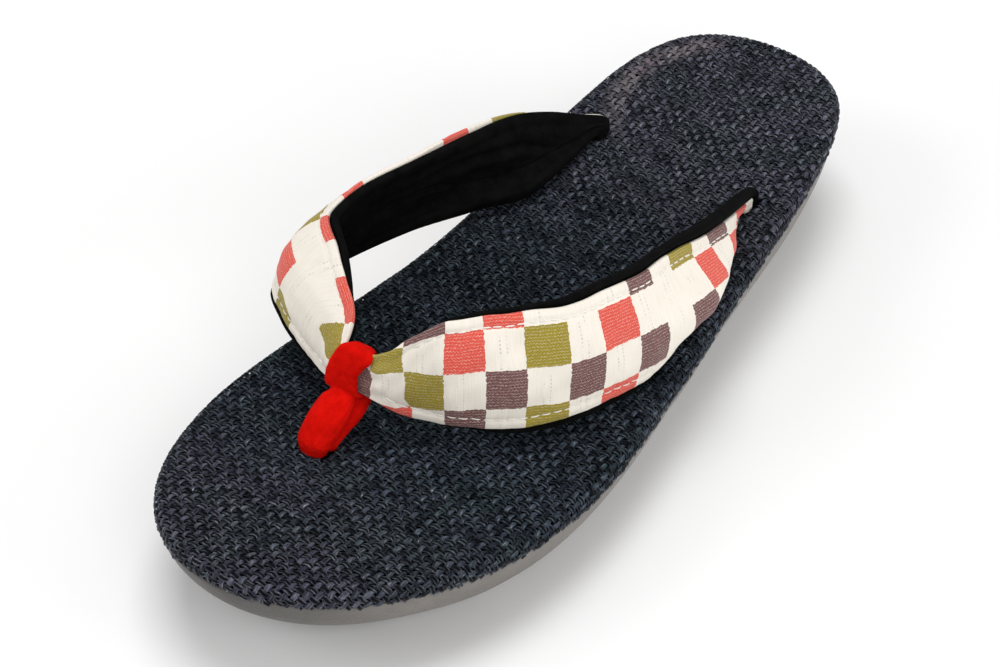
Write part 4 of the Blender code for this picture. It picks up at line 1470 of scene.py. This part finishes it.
class SandalWeave(bpy.types.PropertyGroup):
    pitch: FloatProperty(name="Pitch", description="From one strand to the next",
                         default=1.9 * MM, min=1.0 * MM, max=4 * MM, unit="LENGTH")
    width_share: FloatProperty(name="Width", description="Width of a lengthways strand, of "
                               "the pitch", default=0.64, min=0.4, max=1.0, subtype="FACTOR")
    cross_share: FloatProperty(name="Crossways width", description="Width of a crossways "
                               "strand, of the pitch", default=0.78, min=0.4, max=1.0,
                               subtype="FACTOR")
    wave: FloatProperty(name="Wave", description="How far a strand rises and falls",
                        default=0.31 * MM, min=0, max=0.6 * MM, unit="LENGTH")
    thickness: FloatProperty(name="Thickness", description="Thickness of a strand",
                             default=0.46 * MM, min=0.1 * MM, max=1 * MM, unit="LENGTH")
    seat: FloatProperty(name="Seat", description="Height of the weave over its plain form",
                        default=-0.30 * MM, min=-1 * MM, max=1 * MM, unit="LENGTH")
    dark: colour_property("Dark", "Darkest shade of the strands", (0.0040, 0.0046, 0.0085))
    light: colour_property("Light", "Lightest shade of the lengthways strands",
                           (0.096, 0.103, 0.138))
    shaded: colour_property("Shaded", "Lightest shade of the crossways strands",
                            (0.112, 0.119, 0.150))
    tint: colour_property("Tint", "Multiplies the strands' colour in patches",
                          (0.70, 0.86, 0.74))
    violet: colour_property("Violet", "Multiplies the colour of some stretches of strand",
                            (1.0, 0.88, 1.0))
    # painted shade: the strands darker under the strap
    strap_shade: colour_property("Unworn", "Multiplies the colour under the strap",
                            (0.66, 0.83, 0.82))
    # painted reflection: the pale arc on the heel's rim
    painted_sheen: colour_property("Rubbed", "Strands rubbed pale at the heel",
                            (0.30, 0.26, 0.27))
    # painted shade in the groove of a crossways strand
    deep: colour_property("Deep", "In the groove of the crossways strands",
                          (0.0008, 0.0010, 0.0020))
    # painted glints on streaks of fibre
    glint: colour_property("Glint", "Thin pale fibres", (0.20, 0.205, 0.24))


class SandalStrap(bpy.types.PropertyGroup):
    bare: colour_property("Cloth", "Colour of the bare cloth", (0.855, 0.80, 0.715))
    red: colour_property("Red", "Red squares", (0.76, 0.085, 0.055))
    green: colour_property("Green", "Green squares", (0.33, 0.255, 0.010))
    brown: colour_property("Brown", "Brown squares", (0.165, 0.068, 0.066))
    velvet: colour_property("Lining", "Colour of the lining", (0.0014, 0.0016, 0.0015))
    velvet_light: colour_property("Lining pile", "Where the lining's pile catches light",
                                  (0.0050, 0.0054, 0.0048))
    fleck: FloatProperty(name="Threads", description="How much white thread shows",
                         default=0.50, min=0, max=1, subtype="FACTOR")


class SandalTie(bpy.types.PropertyGroup):
    colour: colour_property("Tie", "Colour of the toe tie", (0.50, 0.0026, 0.0010))
    light: colour_property("Tie pile", "Where its pile catches light", (0.72, 0.0062, 0.0026))
    voxel: FloatProperty(name="Fineness", description="Size of the tie's faces",
                         default=0.30 * MM, min=0.15 * MM, max=1 * MM, unit="LENGTH")


class SandalStage(bpy.types.PropertyGroup):
    floor: colour_property("Floor", "Colour of the floor", default=(0.93, 0.93, 0.93))
    camera: FloatVectorProperty(name="Camera", description="Where the camera stands",
                                default=(0.25008, -0.37755, 0.41279), unit="LENGTH")
    aim: FloatVectorProperty(name="Aim", description="What the camera looks at",
                             default=(0.00179, -0.01719, 0.028), unit="LENGTH")
    roll: FloatProperty(name="Roll", description="Turn of the picture",
                        default=math.radians(1.1205), unit="ROTATION")
    lens: FloatProperty(name="Lens", description="Focal length in mm on a 36 mm sensor",
                        default=86.0, min=20, max=300)
    key: FloatProperty(name="Key", description="Power of the main soft light, in watts",
                       default=5.1, min=0)
    fill: FloatProperty(name="Fill", description="Power of the side soft light, in watts",
                        default=5.0, min=0)
    top: FloatProperty(name="Top", description="Power of the light above, in watts",
                       default=11.5, min=0)
    left: FloatProperty(name="Left", description="Power of the left soft light, in watts",
                        default=5.0, min=0)
    sky: FloatProperty(name="Surround", description="Strength of the even light around",
                       default=0.42, min=0)


# ---------------------------------------------------------------- operators
class BuildSole(bpy.types.Operator):
    """The moulded wedge sole under the woven board"""
    bl_idname = "sandal.sole"
    bl_label = "Sole"

    def execute(self, context):
        look = context.scene.sandal_sole
        sole = build_sole()
        paint(sole, sole_finish(look))
        settle(sole, "sole", "sole")
        return {"FINISHED"}


class BuildWeave(bpy.types.Operator):
    """The woven top: strands both ways, over the board and round its edge"""
    bl_idname = "sandal.weave"
    bl_label = "Woven top"

    def execute(self, context):
        look = context.scene.sandal_weave
        for lengthways, finish in (
                (True, strand_finish("strands_lengthways", look, look.light, 0.9, 0.0)),
                (False, strand_finish("strands_crossways", look, look.shaded, 0.6, 0.95))):
            weave = build_weave(lengthways, look)
            paint(weave, finish)
            settle(weave, "footbed")
        board = build_board()
        paint(board, board_finish(look))
        settle(board, "footbed", "footbed")
        return {"FINISHED"}


class BuildStrap(bpy.types.Operator):
    """The printed strap, its padded lining and its stitches"""
    bl_idname = "sandal.strap"
    bl_label = "Strap"

    def execute(self, context):
        look = context.scene.sandal_strap
        cover = build_strap_cover()
        paint(cover, print_finish(look))
        settle(cover, "strap_cover", "strap_cover")
        lining = build_strap_lining()
        paint(lining, velvet_finish("lining_velvet", tuple(look.velvet),
                                    tuple(look.velvet_light), 0.06))
        settle(lining, "strap_lining", "strap_lining")
        stitches = build_stitches()
        paint(stitches, thread_finish())
        settle(stitches, "strap_cover")
        return {"FINISHED"}


class BuildTie(bpy.types.Operator):
    """The red velvet tie between the toes"""
    bl_idname = "sandal.tie"
    bl_label = "Toe tie"

    def execute(self, context):
        look = context.scene.sandal_tie
        tie = build_tie(look.voxel)
        paint(tie, velvet_finish("tie_velvet", tuple(look.colour), tuple(look.light), 0.15))
        settle(tie, "toe_tie", "toe_tie")
        return {"FINISHED"}


class BuildStage(bpy.types.Operator):
    """The pale floor, the soft lights and the camera"""
    bl_idname = "sandal.stage"
    bl_label = "Stage"

    def execute(self, context):
        look = context.scene.sandal_stage
        half = 3.0
        corners = np.array([(-half, -half, 0), (half, -half, 0), (half, half, 0),
                            (-half, half, 0)], dtype=float)
        floor = add_mesh("floor", corners + (MIDDLE_X, 0, 0), [np.array([[0, 1, 2, 3]])],
                         smooth=False)
        paint(floor, floor_finish(look))
        self.light("key_light", (0.95, -0.75, 0.95), look.key, 0.8)
        self.light("side_light", (1.30, 0.35, 0.40), look.fill, 0.7)
        self.light("top_light", (-0.10, 0.10, 1.55), look.top, 0.8)
        self.light("left_light", (-0.90, -0.95, 0.90), look.left, 0.8)
        world = bpy.data.worlds.new("studio")
        world.use_nodes = True
        world.node_tree.nodes["Background"].inputs["Color"].default_value = (1, 1, 1, 1)
        world.node_tree.nodes["Background"].inputs["Strength"].default_value = look.sky
        context.scene.world = world
        context.scene.view_settings.view_transform = "Standard"
        context.scene.view_settings.look = "None"
        self.camera(context, look)
        return {"FINISHED"}

    @staticmethod
    def light(name, place, power, size):
        """A square soft light that faces the sandal."""
        lamp = bpy.data.lights.new(name, "AREA")
        lamp.energy, lamp.size = power, size
        made = bpy.data.objects.new(name, lamp)
        made.matrix_world = looking(Vector(place), Vector((0, 0, 0.02)), 0.0)
        bpy.context.scene.collection.objects.link(made)

    @staticmethod
    def camera(context, look):
        """The camera at the photograph's angle to the sandal."""
        lens = bpy.data.cameras.new("camera")
        lens.lens, lens.sensor_width = look.lens, 36.0
        lens.clip_start, lens.clip_end = 0.01, 20.0
        made = bpy.data.objects.new("camera", lens)
        made.matrix_world = looking(Vector(look.camera), Vector(look.aim), look.roll)
        context.scene.collection.objects.link(made)
        context.scene.camera = made


def looking(place, target, roll):
    """A matrix at a place whose -Z points at a target, turned about that line."""
    away = (place - target).normalized()
    right = Vector((0, 0, 1)).cross(away).normalized()
    up = away.cross(right)
    turned = right * math.cos(roll) + up * math.sin(roll)
    over = up * math.cos(roll) - right * math.sin(roll)
    matrix = Matrix((turned, over, away)).transposed().to_4x4()
    matrix.translation = place
    return matrix


class SandalPanel(bpy.types.Panel):
    """The steps that dress the sandal, in order"""
    bl_idname = "VIEW3D_PT_sandal"
    bl_label = "Zori sandal"
    bl_space_type = "VIEW_3D"
    bl_region_type = "UI"
    bl_category = "Sandal"

    def draw(self, context):
        for group in PROPERTY_GROUPS:
            settings = getattr(context.scene, group)
            box = self.layout.box()
            for name in type(settings).__annotations__:
                box.prop(settings, name)
        for step in STEPS:
            self.layout.operator(step.bl_idname)


STEPS = (BuildSole, BuildWeave, BuildStrap, BuildTie, BuildStage)
PROPERTY_GROUPS = {
    "sandal_sole": SandalSole,
    "sandal_weave": SandalWeave,
    "sandal_strap": SandalStrap,
    "sandal_tie": SandalTie,
    "sandal_stage": SandalStage,
}


def register():
    for kind in (*PROPERTY_GROUPS.values(), *STEPS, SandalPanel):
        bpy.utils.register_class(kind)
    for name, kind in PROPERTY_GROUPS.items():
        setattr(bpy.types.Scene, name, PointerProperty(type=kind))


def unregister():
    for name in PROPERTY_GROUPS:
        delattr(bpy.types.Scene, name)
    for kind in (SandalPanel, *reversed(STEPS), *reversed(PROPERTY_GROUPS.values())):
        bpy.utils.unregister_class(kind)


def main():
    """Registers the steps and builds every piece in order."""
    register()
    for step in STEPS:
        group, name = step.bl_idname.split(".")
        if getattr(getattr(bpy.ops, group), name)() != {"FINISHED"}:
            raise RuntimeError(f"{step.bl_label} wasn't built")


if __name__ == "__main__":
    main()
